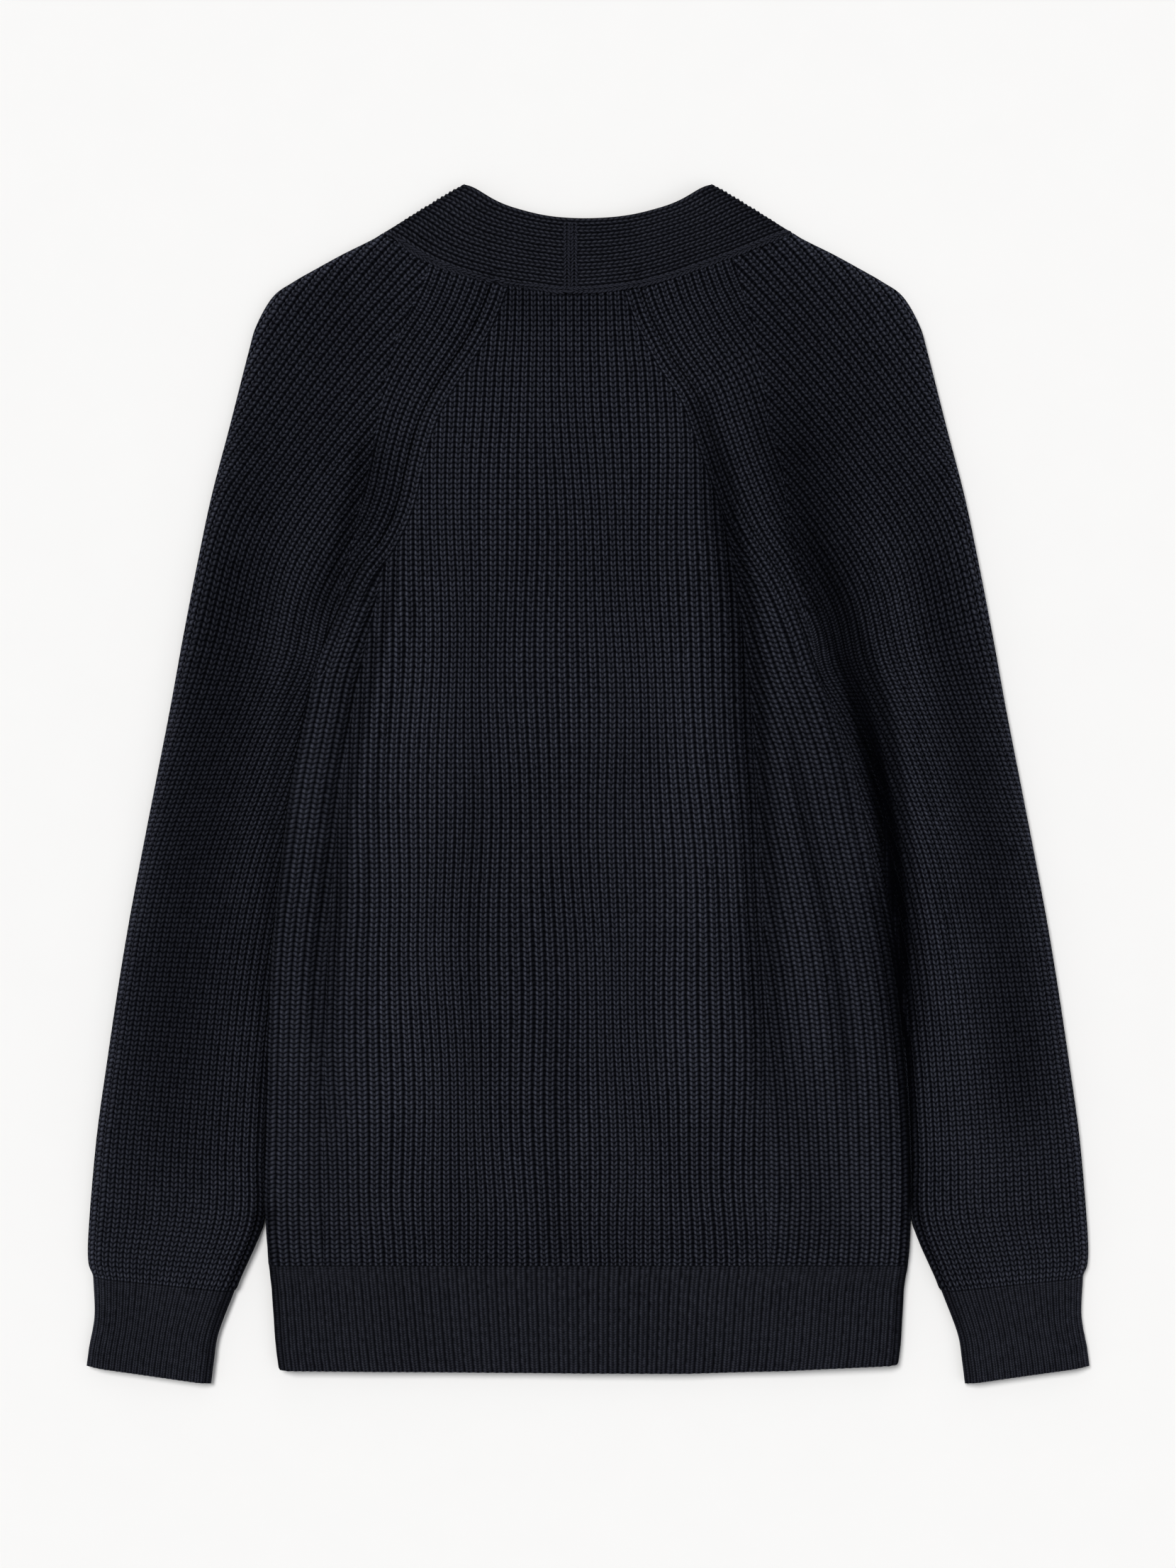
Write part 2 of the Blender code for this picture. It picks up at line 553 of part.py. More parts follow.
def make_sleeve(side):
    upper_edge, lower_edge = back_edge(side), front_side_edge(side)
    first = sleeve_wale(side, 0.0, upper_edge)
    last = sleeve_wale(side, 1.0, upper_edge)
    station_ys = [y_in for y_in, _ in SLEEVE_STATIONS]
    first_rows = np.interp(station_ys, first[:, 1], lengths(first)) / lengths(first)[-1]
    last_rows = np.interp(OUTLINE_ROW_YS, last[:, 1], lengths(last)) / lengths(last)[-1]

    def wale_points(share, top_edge):
        rows = first_rows + (last_rows - first_rows) * min(1, 3 * share)
        return along_path(sleeve_wale(side, share, top_edge), rows)

    wales, rise = ribbed(SLEEVE_WALES)
    upper = np.array([wale_points(share, upper_edge) for share in wales / SLEEVE_WALES])
    known = {}

    def lower_xy(row, share):
        key = round(share, 4)
        if key not in known:
            known[key] = wale_points(key, lower_edge)
        return known[key][row]

    grids = []
    for inner_side in (False, True):
        step = 2 if inner_side else 1
        rows = []
        for row in range(len(first_rows)):
            def lower_at(share, row=row):
                return lower_xy(row, share)

            ends = row in (0, len(first_rows) - 1)
            parts = sleeve_ring(upper[::step, row], lower_at, rise[::step], inner_side, ends)
            rows.append(sleeve_halves(parts, lower_at, inner_side))
        grids.append(rows)
    for half, name in enumerate((f"sleeve_{side}", f"sleeve_under_{side}")):
        cloth = Cloth()
        cloth.sheet(*([row[half] for row in rows] for rows in grids))
        add_object(name, cloth.points, cloth.faces, "navy_knit")


def make_cuff(side):
    """The cuff goes on from the sleeve's first ring down to its own edge."""
    sign = SIGN[side]
    inner = smooth_path([(sign * x, y) for x, y in CUFF_INSIDE], 1)
    outer = smooth_path([(sign * x, y) for x, y in CUFF_OUTLINE], 1)
    wales, rise = ribbed(SLEEVE_WALES)
    grids = []
    for inner_side in (False, True):
        step = 2 if inner_side else 1
        shares = wales[::step, None] / SLEEVE_WALES
        grids.append([
            sum(sleeve_ring(
                inner[row] + (outer[row] - inner[row]) * shares,
                lambda share, row=row: inner[row] + (outer[row] - inner[row]) * share,
                rise[::step], inner_side, row == 0,
            ), [])
            for row in range(len(inner))
        ])
    cloth = Cloth()
    cloth.tube(*grids)
    add_object(f"cuff_{side}", cloth.points, cloth.faces, "navy_rib")


def band_lift(side, y):
    """Height of a front band's underside: the right band lies on the left one where they lap."""
    return np.zeros_like(y) if side == "left" else OVERLAP * (1 - smoothstep(y, 0.150, 0.215))


def front_lift(side, x, y):
    """Height of a front's underside: the right front climbs beside its band."""
    return band_lift(side, y) * smoothstep(CENTRE_X + 0.064 - x, 0.0, 0.038)


def flat_grid(left, right, ys, columns):
    x = np.array([left(y) + (right(y) - left(y)) * np.linspace(0, 1, columns) for y in ys])
    return x, np.repeat(np.array(ys)[:, None], columns, 1)


def make_front_piece(name, side, finish_name, ys, columns):
    """A panel of the lower layer between the side and the front band."""
    sign = SIGN[side]

    def outer_x(y):
        return (seam_x[side](y) if y < UNDERARM_Y else front_raglan_x(side, y)) - sign * UNDER_SEAM

    def inner_x(y):
        return front_edge(side, y) + sign * GAP

    x, y = flat_grid(inner_x, outer_x, ys, columns)
    z = front_lift(side, x, y)
    cloth = Cloth()
    cloth.sheet(np.stack([x, y, z + FLAT_WALL], -1), np.stack([x, y, z], -1))
    add_object(name, cloth.points, cloth.faces, finish_name)


def band_sections(side):
    """Lines across a band, each from the neck edge to the seam edge. They run from the centre back over the
    neck to the fold, then under it and down the front."""
    sign = SIGN[side]
    start = CENTRE_X + sign * GAP / 2
    edge_xs = np.linspace(start, sign * 0.0720, NECK_ROWS - 1)
    seam_xs = np.linspace(start, sign * 0.1140, NECK_ROWS - 1)
    top = [((ex, neck_edge_y(ex)), (sx, neck_seam_y(sx) + SEAM)) for ex, sx in zip(edge_xs, seam_xs)]
    fold_in = (sign * NECK_FOLD[-1][0], NECK_FOLD[-1][1])
    fold_out = (sign * NECK_FOLD[0][0], NECK_FOLD[0][1] + 5 * GAP)
    top.append((fold_in, fold_out))
    low_in = (CENTRE_X - sign * BAND_WIDTH / 2, CROSSING_Y)
    low_out = (CENTRE_X + sign * BAND_WIDTH / 2, CROSSING_Y)
    run = math.hypot(low_in[0] - fold_in[0], low_in[1] - fold_in[1])
    shares = [0.0010 / run, UNDER_TURN / run, 0.08, 0.18, 0.30, 0.42, 0.54, 0.66, 0.76, 0.86, 1.0]
    fold, low = np.array([fold_in, fold_out]), np.array([low_in, low_out])
    under = [tuple(fold + (low - fold) * share) for share in shares]
    for y in np.linspace(CROSSING_Y, HEM_Y, 8)[1:]:
        under.append(((low_in[0], y), (low_out[0], y)))
    return np.array(top), np.array(under)


def make_band(side):
    top, under = band_sections(side)
    wales, rise = ribbed(BAND_WALES)
    across_ribbed, across_plain = wales / BAND_WALES, np.linspace(0, 1, 4)
    outer, inner = [], []
    for start, end in top:
        x, y = (start[c] + (end[c] - start[c]) * across_ribbed for c in (0, 1))
        outer.append(on_top(x, y, rise))
        x, y = x[::2], y[::2]
        inner.append(under_top(x, y, GAP))
    fold_start, fold_end = top[-1]
    along = (fold_end - fold_start) / np.hypot(*(fold_end - fold_start))
    inward = SIGN[side] * np.array([-along[1], along[0]])
    inward = -inward if inward[1] > 0 else inward

    def moved_in(start, end, across, distance):
        """Points across the band, moved in from the neck fold, and at the seam also clear of the sleeve."""
        xy = start + (end - start) * across[:, None] + inward * distance
        xy[-1] -= along * distance * 2
        return xy[:, 0], xy[:, 1]

    x, y = moved_in(fold_start, fold_end, across_ribbed[::2], TURN_DEPTH)
    inner[-1] = np.stack([x, y, np.full(len(x), EDGE_HEIGHT)], -1)
    for n, (start, end) in enumerate(under):
        x, y = (start[c] + (end[c] - start[c]) * across_plain for c in (0, 1))
        z = band_lift(side, y)
        x_in, y_in = moved_in(start, end, across_plain, TURN_DEPTH * (1.0, 0.6)[n] if n < 2 else 0.0)
        z_out, z_in = (z + 0.0022, z + 0.0044) if n == 0 else (z, z + BAND_WALL)
        outer.append(np.stack([x, y, z_out], -1))
        inner.append(np.stack([x_in, y_in, z_in], -1))
    cloth = Cloth()
    cloth.sheet(outer, inner)
    return add_object(f"band_{side}", cloth.points, cloth.faces, "navy_rib")


def ring(radius, z, sides):
    angles = np.arange(sides) * 2 * np.pi / sides
    return np.stack([radius * np.cos(angles), radius * np.sin(angles), np.full(sides, z)], -1)


def turned(profile, sides, centre_x=0.0, centre_y=0.0):
    """A solid of revolution from (radius, height) pairs, from its lower face to its upper one."""
    cloth = Cloth()
    rows = cloth.rows([ring(radius, z, sides) + (centre_x, centre_y, 0) for radius, z in profile])
    cloth.skin([row + row[:1] for row in rows])
    cloth.faces.extend((tuple(rows[0]), tuple(rows[-1])))
    return cloth


def cutter_object(name, solids):
    """One hidden object from several solids."""
    points, faces = [], []
    for solid in solids:
        faces.extend(tuple(v + len(points) for v in face) for face in solid.faces)
        points.extend(solid.points)
    cutter = add_object(name, points, faces, "navy_button")
    cutter.hide_render = True
    cutter.display_type = "WIRE"
    return cutter


def cut(placed, cutter):
    hollow = placed.modifiers.new(cutter.name, "BOOLEAN")
    hollow.object = cutter
    hollow.operation = "DIFFERENCE"
    hollow.solver = "EXACT"


def make_buttons(band):
    """Dished buttons that lie face down in the underside of the band that they close, their faces on the
    surface. Each has four thread holes."""
    profile = [(r * BUTTON_RADIUS, z * BUTTON_THICK) for r, z in BUTTON_PROFILE]
    seat = [(BUTTON_RADIUS + GAP, z) for z in (-0.001, BUTTON_THICK + GAP)]
    cut(band, cutter_object("button_seats", [turned(seat, 18, CENTRE_X, y) for y in BUTTON_YS]))
    hole = [(BUTTON_HOLE_RADIUS, z) for z in (-0.001, BUTTON_THICK + 0.001)]
    out = BUTTON_HOLE_OUT
    corners = [(sx * out, sy * out) for sx in (-1, 1) for sy in (-1, 1)]
    for number, y in enumerate(BUTTON_YS, 1):
        solid = turned(profile, 18, CENTRE_X, y)
        button = add_object(f"button_{number}", solid.points, solid.faces, "navy_button")
        holes = [turned(hole, 6, CENTRE_X + dx, y + dy) for dx, dy in corners]
        cut(button, cutter_object(f"thread_holes_{number}", holes))


def main():
    for old in list(bpy.data.objects):
        bpy.data.objects.remove(old)
    side_ys = [y_in for y_in, _ in SLEEVE_STATIONS if y_in >= HEM_TOP_Y]
    make_back_piece("back", "navy_knit", side_ys, True)
    make_back_piece("back_hem", "navy_rib", HEM_YS, False)
    bands = {}
    for side in ("left", "right"):
        make_sleeve(side)
        make_cuff(side)
        bands[side] = make_band(side)
        make_front_piece(f"front_{side}", side, "navy_knit", side_ys + [*FRONT_RAGLAN_YS], 7)
        make_front_piece(f"front_hem_{side}", side, "navy_rib", HEM_YS, 7)
    make_buttons(bands["left"])


main()
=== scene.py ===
"""A navy raglan cardigan in chunky half-cardigan knit, laid flat and face down on a pale floor.

+Y runs from the hem to the neck, +X to the wearer's right and +Z up from the floor. Each panel is a thin
closed shell whose outer points follow the wales and courses of the knit, over the folds of the garment."""

import math

import bmesh
import bpy
import numpy as np
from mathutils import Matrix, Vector
from mathutils.geometry import delaunay_2d_cdt
from mathutils.kdtree import KDTree


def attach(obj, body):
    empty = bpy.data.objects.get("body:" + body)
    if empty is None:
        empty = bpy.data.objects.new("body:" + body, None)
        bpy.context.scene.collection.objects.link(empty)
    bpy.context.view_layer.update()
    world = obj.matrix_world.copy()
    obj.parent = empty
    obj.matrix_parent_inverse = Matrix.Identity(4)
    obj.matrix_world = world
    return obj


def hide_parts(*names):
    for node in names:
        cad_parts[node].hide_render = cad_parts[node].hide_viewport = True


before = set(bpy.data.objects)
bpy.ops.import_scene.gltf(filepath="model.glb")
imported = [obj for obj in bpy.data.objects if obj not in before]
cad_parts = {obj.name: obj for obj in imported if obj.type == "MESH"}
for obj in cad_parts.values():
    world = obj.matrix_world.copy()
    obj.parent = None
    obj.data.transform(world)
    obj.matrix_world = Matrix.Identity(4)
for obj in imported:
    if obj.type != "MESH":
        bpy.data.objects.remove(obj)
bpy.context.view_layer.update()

# Cloth
WALL = 0.0022
FLAT_WALL = 0.0028  # panels of the lower layer
BAND_WALL = 0.0036
GAP = 0.0003
SEAM = 0.0001
UNDER_SEAM = 0.0006
LOWER_SEAM_ASIDE = 0.0012
BACK_WALES = 64
HEM_WALES = 72
HEM_LEAN = 0.045  # how far the ribs lean between the hem's middle and its sides
HEM_CLOSER = 0.028  # how much closer the ribs stand at the sides
SLEEVE_WALES = 22
BAND_WALES = 10
BORDER_WALE = 0.0052  # width of a wale beside the raglan seams
BODY_COURSE = 0.00315  # height of one row of stitches
SLEEVE_COURSE = 0.003
RIB_COURSE = 0.0015
BAND_COURSE = 0.0034
WALE_RISE = 0.0012  # how far the crest of a wale stands above the valley beside it
STITCH_RISE = 0.0012  # and how far a stitch swells on top of that
EDGE_STEP = 0.0012  # between points along the edge of a panel
INSIDE_STEP = 0.008  # between points of a panel's plain inner face

# Heights over the floor
EDGE_HEIGHT = 0.0055
HALVES_HEIGHT = 0.0034  # where the upper half of a sleeve ends, over the lower half
SIDE_HEIGHT = 0.0052
GROOVE_HEIGHT = {"left": 0.0105, "right": 0.0042}  # of the groove between a sleeve and the body's side
OUTLINE_ROUND = 0.012
SIDE_ROUND = 0.009

# Places along the garment
HEM_Y = -0.356
HEM_TOP_Y = -0.2913
UNDERARM_Y = 0.069
CENTRE_X = -0.0105
CROSSING_Y = 0.06
BAND_WIDTH = 0.045
NECK_DROP = 0.007
RAGLAN_TOP_Y = 0.268

# Outlines, each a table of (x, y). The sleeves' outlines are the same on both sides, and are given for +X.
SLEEVE_OUTLINE = (
    (0.304, -0.3525), (0.3025, -0.3415), (0.2995, -0.325), (0.299, -0.31), (0.3, -0.2985),
    (0.3025, -0.2915), (0.3026, -0.28), (0.301, -0.255), (0.297, -0.212), (0.291, -0.169),
    (0.2846, -0.126), (0.2775, -0.083), (0.2694, -0.04), (0.261, 0.003), (0.2526, 0.046),
    (0.245, 0.088), (0.2367, 0.131), (0.2277, 0.174), (0.2165, 0.217), (0.2055, 0.2604),
    (0.2005, 0.2776), (0.1905, 0.295), (0.178, 0.304), (0.164, 0.312), (0.1485, 0.3205),
    (0.131, 0.3292), (0.124, 0.3335),
)
NECK_FOLD = ((0.124, 0.3335), (0.1047, 0.3464), (0.086, 0.3583), (0.075, 0.3636))
NECK_EDGE = (
    (-0.075, 0.3636), (-0.069, 0.361), (-0.0555, 0.3532), (-0.0425, 0.3485), (-0.023, 0.3443),
    (0.0, 0.3429), (0.023, 0.3443), (0.0425, 0.3485), (0.0555, 0.3532), (0.069, 0.361),
    (0.075, 0.3636),
)
NECK_SEAM = (
    (-0.124, 0.3335), (-0.095, 0.315), (-0.0634, 0.3047), (-0.03, 0.2995), (-0.0058, 0.2975),
    (0.038, 0.3025), (0.0823, 0.3171), (0.124, 0.3335),
)
# From the neck down the raglan to the underarm, then down the side to the hem
LEFT_SEAM = (
    (-0.056, 0.31), (-0.064, 0.288), (-0.0742, 0.268), (-0.0897, 0.244), (-0.1008, 0.223),
    (-0.108, 0.2), (-0.115, 0.17), (-0.1245, 0.149), (-0.1391, 0.129), (-0.1529, 0.1008),
    (-0.1655, 0.069), (-0.1715, 0.043), (-0.1795, 0.0002), (-0.186, -0.05), (-0.1912, -0.103),
    (-0.1945, -0.17), (-0.196, -0.234), (-0.1956, -0.262), (-0.1938, -0.29), (-0.192, -0.3072),
    (-0.1897, -0.3416), (-0.188, -0.356),
)
RIGHT_SEAM = (
    (0.029, 0.31), (0.0362, 0.288), (0.042, 0.275), (0.051, 0.258), (0.0655, 0.2354),
    (0.0745, 0.2122), (0.084, 0.1864), (0.0985, 0.154), (0.116, 0.1255), (0.1275, 0.1),
    (0.1385, 0.069), (0.149, 0.043), (0.1593, 0.0127), (0.1675, -0.0234), (0.178, -0.07),
    (0.1865, -0.115), (0.1925, -0.17), (0.1952, -0.22), (0.1958, -0.262), (0.1942, -0.29),
    (0.1918, -0.3072), (0.19, -0.3416), (0.1885, -0.356),
)
# A sleeve's inner side, from where it leaves the body's side down to the edge of the cuff, given for +X
SLEEVE_INSIDE = (
    (0.1958, -0.262), (0.2005, -0.277), (0.2062, -0.29), (0.2103, -0.299), (0.213, -0.3058),
    (0.2144, -0.3072),
    (0.2182, -0.3158), (0.2217, -0.3244), (0.224, -0.333), (0.2257, -0.3416), (0.2268, -0.35),
    (0.2285, -0.3636),
)
CUFF_INSIDE = ((0.2144, -0.3075), (0.224, -0.333), (0.2268, -0.35), (0.2285, -0.3634))
CUFF_OUTLINE = ((0.3, -0.2988), (0.2992, -0.322), (0.3025, -0.3415), (0.304, -0.3527))
SLEEVE_STATIONS = (
    # y on the inner side, y across from it on the outline
    (-0.3072, -0.2985), (-0.2913, -0.285), (-0.262, -0.255), (-0.225, -0.218), (-0.188, -0.181),
    (-0.151, -0.146), (-0.114, -0.111), (-0.077, -0.0765), (-0.04, -0.042), (-0.003, -0.005),
    (0.024, 0.025), (0.047, 0.051), (0.069, 0.088),
)
# Above the underarm the hidden lower half lies between these: y of a guide inside the back, its distance in
# from the back's edge, and the point across from it on the outline, given for +X
RAGLAN_STATIONS = (
    (0.105, 0.008, 0.2367, 0.131), (0.138, 0.016, 0.2277, 0.174), (0.17, 0.024, 0.2165, 0.217),
    (0.198, 0.03, 0.2055, 0.2604), (0.218, 0.034, 0.196, 0.287), (0.24, 0.038, 0.17, 0.3088),
    (0.26, 0.042, 0.124, 0.3335),
)
# The upper half's rows above the underarm, which turn toward the neck: where each crosses wale 0 and wale 30
TURNED_ROWS = (
    ((0.13, 0.099), (0.259, 0.186)), ((0.0974, 0.1509), (0.2264, 0.2367)),
    ((0.0561, 0.191), (0.185, 0.3)), ((0.0178, 0.2231), (0.1556, 0.3405)),
    ((-0.0205, 0.2552), (0.1235, 0.3788)), ((-0.05, 0.28), (0.098, 0.41)),
)
FAR_WALE = 30
HIDDEN_WALES = ((-0.05, 4.0), (0.069, 0.0))  # wales below 0 that still show at the inner side, by y
# Where a sleeve's own wales meet its border, whose wales run along the raglan seam
BORDER_LINE = {
    "right": ((0.14, 0.06), (0.136, 0.085), (0.1318, 0.1004), (0.1271, 0.1314), (0.1215, 0.1572),
              (0.117, 0.1916), (0.1095, 0.2174), (0.1056, 0.2432), (0.1024, 0.269), (0.0948, 0.2948),
              (0.085, 0.325), (0.08, 0.34)),
    "left": ((-0.165, 0.06), (-0.16, 0.085), (-0.1518, 0.1099), (-0.1451, 0.1357), (-0.1382, 0.1658),
             (-0.1314, 0.1959), (-0.1262, 0.2217), (-0.1219, 0.2475), (-0.1159, 0.269), (-0.1051, 0.2905),
             (-0.096, 0.312), (-0.088, 0.34)),
}
BACK_BORDER = 0.0104  # width of the back's own borders
CORNER = 0.004  # radius at the hem's two corners
HEM_EDGE = ((-0.188, 0.001), (0.0, -0.0004), (0.06, -0.0006), (0.12, 0.001), (0.188, 0.0044))  # x, rise

# Height of the upper layer over the floor, by y
BODY_HEIGHT = (
    (-0.357, 0.0116), (-0.33, 0.0124), (-0.29, 0.0136), (-0.22, 0.0148), (0.12, 0.0148), (0.345, 0.0135),
)
SLEEVE_HEIGHT = (
    (-0.363, 0.0104), (-0.33, 0.0114), (-0.3, 0.0128), (-0.26, 0.0165), (-0.15, 0.019),
    (0.08, 0.0195), (0.2, 0.0165), (0.28, 0.0135), (0.33, 0.0112),
)

# The largest folds: name, half width, height (a trough is negative), and the line that each follows
FOLDS = (
    ("back, left trough", 0.012, -0.005,
     ((-0.113, 0.18), (-0.124, 0.118), (-0.135, 0.072), (-0.1455, 0.023), (-0.151, -0.009),
      (-0.156, -0.066), (-0.161, -0.127), (-0.159, -0.22))),
    ("back, left ridge", 0.012, 0.0035,
     ((-0.105, 0.18), (-0.111, 0.113), (-0.12, 0.072), (-0.129, 0.034), (-0.1375, -0.03),
      (-0.141, -0.082), (-0.145, -0.17))),
    ("back, right trough", 0.015, -0.0062,
     ((0.061, 0.24), (0.073, 0.205), (0.08, 0.17), (0.087, 0.138), (0.094, 0.104), (0.099, 0.06),
      (0.101, 0.0), (0.105, -0.08), (0.109, -0.17), (0.11, -0.25))),
    ("back, right ridge", 0.016, 0.0025,
     ((0.05, 0.22), (0.06, 0.138), (0.066, 0.07), (0.068, 0.0), (0.068, -0.08), (0.066, -0.19))),
    ("back, underarm ridge", 0.012, 0.0045,
     ((0.112, 0.135), (0.124, 0.095), (0.134, 0.06), (0.145, 0.01), (0.154, -0.032), (0.163, -0.075),
      (0.17, -0.115), (0.175, -0.2))),
    ("back, small right trough", 0.009, -0.0035,
     ((0.118, 0.055), (0.125, 0.011), (0.1335, -0.032), (0.142, -0.075), (0.148, -0.11),
      (0.154, -0.167), (0.163, -0.245))),
    ("left sleeve, underarm trough", 0.014, -0.0055,
     ((-0.126, 0.225), (-0.134, 0.185), (-0.141, 0.15), (-0.152, 0.115), (-0.163, 0.075))),
    ("left sleeve, inner ridge", 0.014, 0.003,
     ((-0.166, 0.18), (-0.178, 0.11), (-0.19, 0.05), (-0.2, -0.01), (-0.206, -0.07),
      (-0.21, -0.13), (-0.213, -0.21))),
    ("left sleeve, outer trough", 0.022, -0.003,
     ((-0.2, 0.19), (-0.212, 0.11), (-0.228, 0.03), (-0.242, -0.04), (-0.253, -0.11),
      (-0.262, -0.2))),
    ("right sleeve, underarm trough", 0.015, -0.01,
     ((0.112, 0.215), (0.122, 0.17), (0.138, 0.125), (0.157, 0.08), (0.17, 0.045), (0.177, 0.01),
      (0.181, -0.02), (0.185, -0.06), (0.188, -0.095), (0.192, -0.15), (0.196, -0.23))),
    ("right sleeve, inner ridge", 0.015, 0.0045,
     ((0.14, 0.19), (0.163, 0.125), (0.183, 0.06), (0.194, 0.002), (0.201, -0.049),
      (0.2075, -0.1), (0.212, -0.19))),
    ("right sleeve, outer trough", 0.017, -0.0035,
     ((0.192, 0.15), (0.206, 0.08), (0.216, 0.01), (0.224, -0.06), (0.232, -0.13), (0.243, -0.21))),
)
# Smaller creases
CREASES = (
    ("right underarm, deep", 0.006, -0.004, ((0.15, 0.09), (0.168, 0.03), (0.178, -0.01), (0.183, -0.06),
     (0.19, -0.115), (0.194, -0.17), (0.1965, -0.235))),
    ("back, right trough, deep", 0.008, -0.003, ((0.066, 0.228), (0.079, 0.185), (0.092, 0.122), (0.099, 0.06),
     (0.103, 0.0), (0.107, -0.08))),
    ("back, middle left", 0.014, -0.0012, ((-0.07, 0.03), (-0.069, -0.05), (-0.07, -0.13), (-0.072, -0.2))),
    ("back, middle right", 0.013, -0.0012, ((-0.013, -0.13), (-0.012, -0.21), (-0.012, -0.29), (-0.011, -0.34))),
    ("back, left of the middle", 0.016, 0.001, ((-0.04, 0.12), (-0.042, 0.02), (-0.04, -0.09), (-0.038, -0.22))),
    ("back, beside the left seam", 0.006, 0.0016, ((-0.176, -0.01), (-0.181, -0.05), (-0.184, -0.1))),
    ("left sleeve, elbow", 0.018, -0.0014, ((-0.205, -0.02), (-0.232, -0.05), (-0.262, -0.075))),
    ("left sleeve, above the cuff", 0.014, -0.0015, ((-0.225, -0.235), (-0.25, -0.262), (-0.29, -0.268))),
    ("right sleeve, elbow", 0.018, -0.0014, ((0.206, -0.06), (0.235, -0.082), (0.266, -0.1))),
    ("right sleeve, above the cuff", 0.014, -0.0015, ((0.222, -0.24), (0.25, -0.265), (0.29, -0.27))),
)

# Painted shade and painted light, in strokes: where the stitches' colour is painted darker or lighter, as if less
# or more of each stitch caught the light than on the flat: name, half width, share of the light at the middle of
# the stroke, how it fades in and out along the line, and the line
PAINTED_SHADES = (
    ("right underarm, soft", 0.038, 0.46, (0.22, 0.3),
     ((0.1, 0.262), (0.122, 0.2), (0.142, 0.14), (0.158, 0.08), (0.174, 0.015), (0.184, -0.06))),
    ("back, right trough", 0.023, 0.7, (0.1, 0.4),
     ((0.063, 0.236), (0.074, 0.205), (0.081, 0.178), (0.09, 0.122), (0.096, 0.06), (0.102, 0.0),
      (0.107, -0.08), (0.109, -0.17), (0.11, -0.28))),
    ("back, right trough, top", 0.014, 0.64, (0.05, 0.6),
     ((0.064, 0.238), (0.075, 0.205), (0.082, 0.175), (0.089, 0.13), (0.093, 0.08))),
    ("back, small right trough", 0.007, 0.66, (0.25, 0.3),
     ((0.115, 0.075), (0.124, 0.02), (0.1335, -0.032), (0.148, -0.1), (0.156, -0.16), (0.164, -0.225))),
    ("back, right side", 0.012, 0.8, (0.25, 0.2),
     ((0.16, -0.04), (0.172, -0.11), (0.18, -0.19), (0.184, -0.26))),
    ("right sleeve, outside", 0.032, 0.58, (0.22, 0.2),
     ((0.19, 0.21), (0.201, 0.16), (0.219, 0.085), (0.233, 0.011), (0.247, -0.063), (0.256, -0.138),
      (0.261, -0.212), (0.264, -0.262))),
    ("right sleeve, ridge", 0.013, 1.15, (0.25, 0.25),
     ((0.182, 0.17), (0.191, 0.11), (0.205, 0.011), (0.213, -0.06), (0.219, -0.12), (0.224, -0.2))),
    ("left sleeve, outside", 0.052, 0.5, (0.3, 0.3),
     ((-0.19, 0.25), (-0.204, 0.197), (-0.215, 0.104), (-0.228, 0.011), (-0.241, -0.082), (-0.253, -0.175),
      (-0.26, -0.3))),
    ("left underarm", 0.026, 0.72, (0.25, 0.25),
     ((-0.116, 0.225), (-0.128, 0.19), (-0.142, 0.15), (-0.156, 0.11), (-0.165, 0.075))),
    ("left side", 0.006, 0.75, (0.15, 0.05),
     ((-0.164, 0.1), (-0.174, 0.07), (-0.187, 0.011), (-0.1935, -0.082), (-0.1975, -0.175), (-0.1975, -0.265))),
    ("back, left trough", 0.017, 0.82, (0.08, 0.12),
     ((-0.11, 0.205), (-0.124, 0.15), (-0.14, 0.08), (-0.152, 0.0), (-0.158, -0.07), (-0.16, -0.15),
      (-0.16, -0.28))),
    ("back, bright left of the middle", 0.046, 1.2, (0.35, 0.2),
     ((-0.095, 0.2), (-0.104, 0.1), (-0.108, 0.0), (-0.108, -0.12), (-0.104, -0.26))),
    ("back, bright right of the middle", 0.026, 1.15, (0.25, 0.25),
     ((0.05, 0.13), (0.057, 0.05), (0.057, -0.06), (0.057, -0.23))),
    ("back, under the neckband", 0.016, 0.8, (0.1, 0.1),
     ((-0.06, 0.296), (-0.03, 0.29), (0.0, 0.288), (0.036, 0.294))),
    ("left shoulder", 0.085, 0.72, (0.35, 0.4),
     ((-0.08, 0.33), (-0.15, 0.275), (-0.185, 0.2), (-0.21, 0.12))),
    ("right shoulder", 0.085, 0.7, (0.35, 0.4),
     ((0.05, 0.33), (0.12, 0.275), (0.165, 0.2), (0.19, 0.12))),
    ("back, low in the middle", 0.018, 0.86, (0.3, 0.05),
     ((-0.014, -0.08), (-0.017, -0.14), (-0.02, -0.22), (-0.021, -0.29))),
    ("back, left of the middle", 0.009, 0.86, (0.2, 0.2),
     ((-0.067, 0.06), (-0.069, -0.03), (-0.07, -0.11), (-0.071, -0.2))),
    ("above the hem", 0.022, 0.88, (0.05, 0.05), ((-0.175, -0.276), (0.175, -0.276))),
    ("back, low on the right", 0.03, 0.86, (0.3, 0.1),
     ((0.098, -0.12), (0.115, -0.17), (0.132, -0.23), (0.148, -0.286))),
    ("left cuff", 0.08, 1.15, (0.01, 0.01), ((-0.262, -0.296), (-0.265, -0.372))),
    ("right cuff", 0.08, 1.15, (0.01, 0.01), ((0.262, -0.296), (0.265, -0.372))),
)
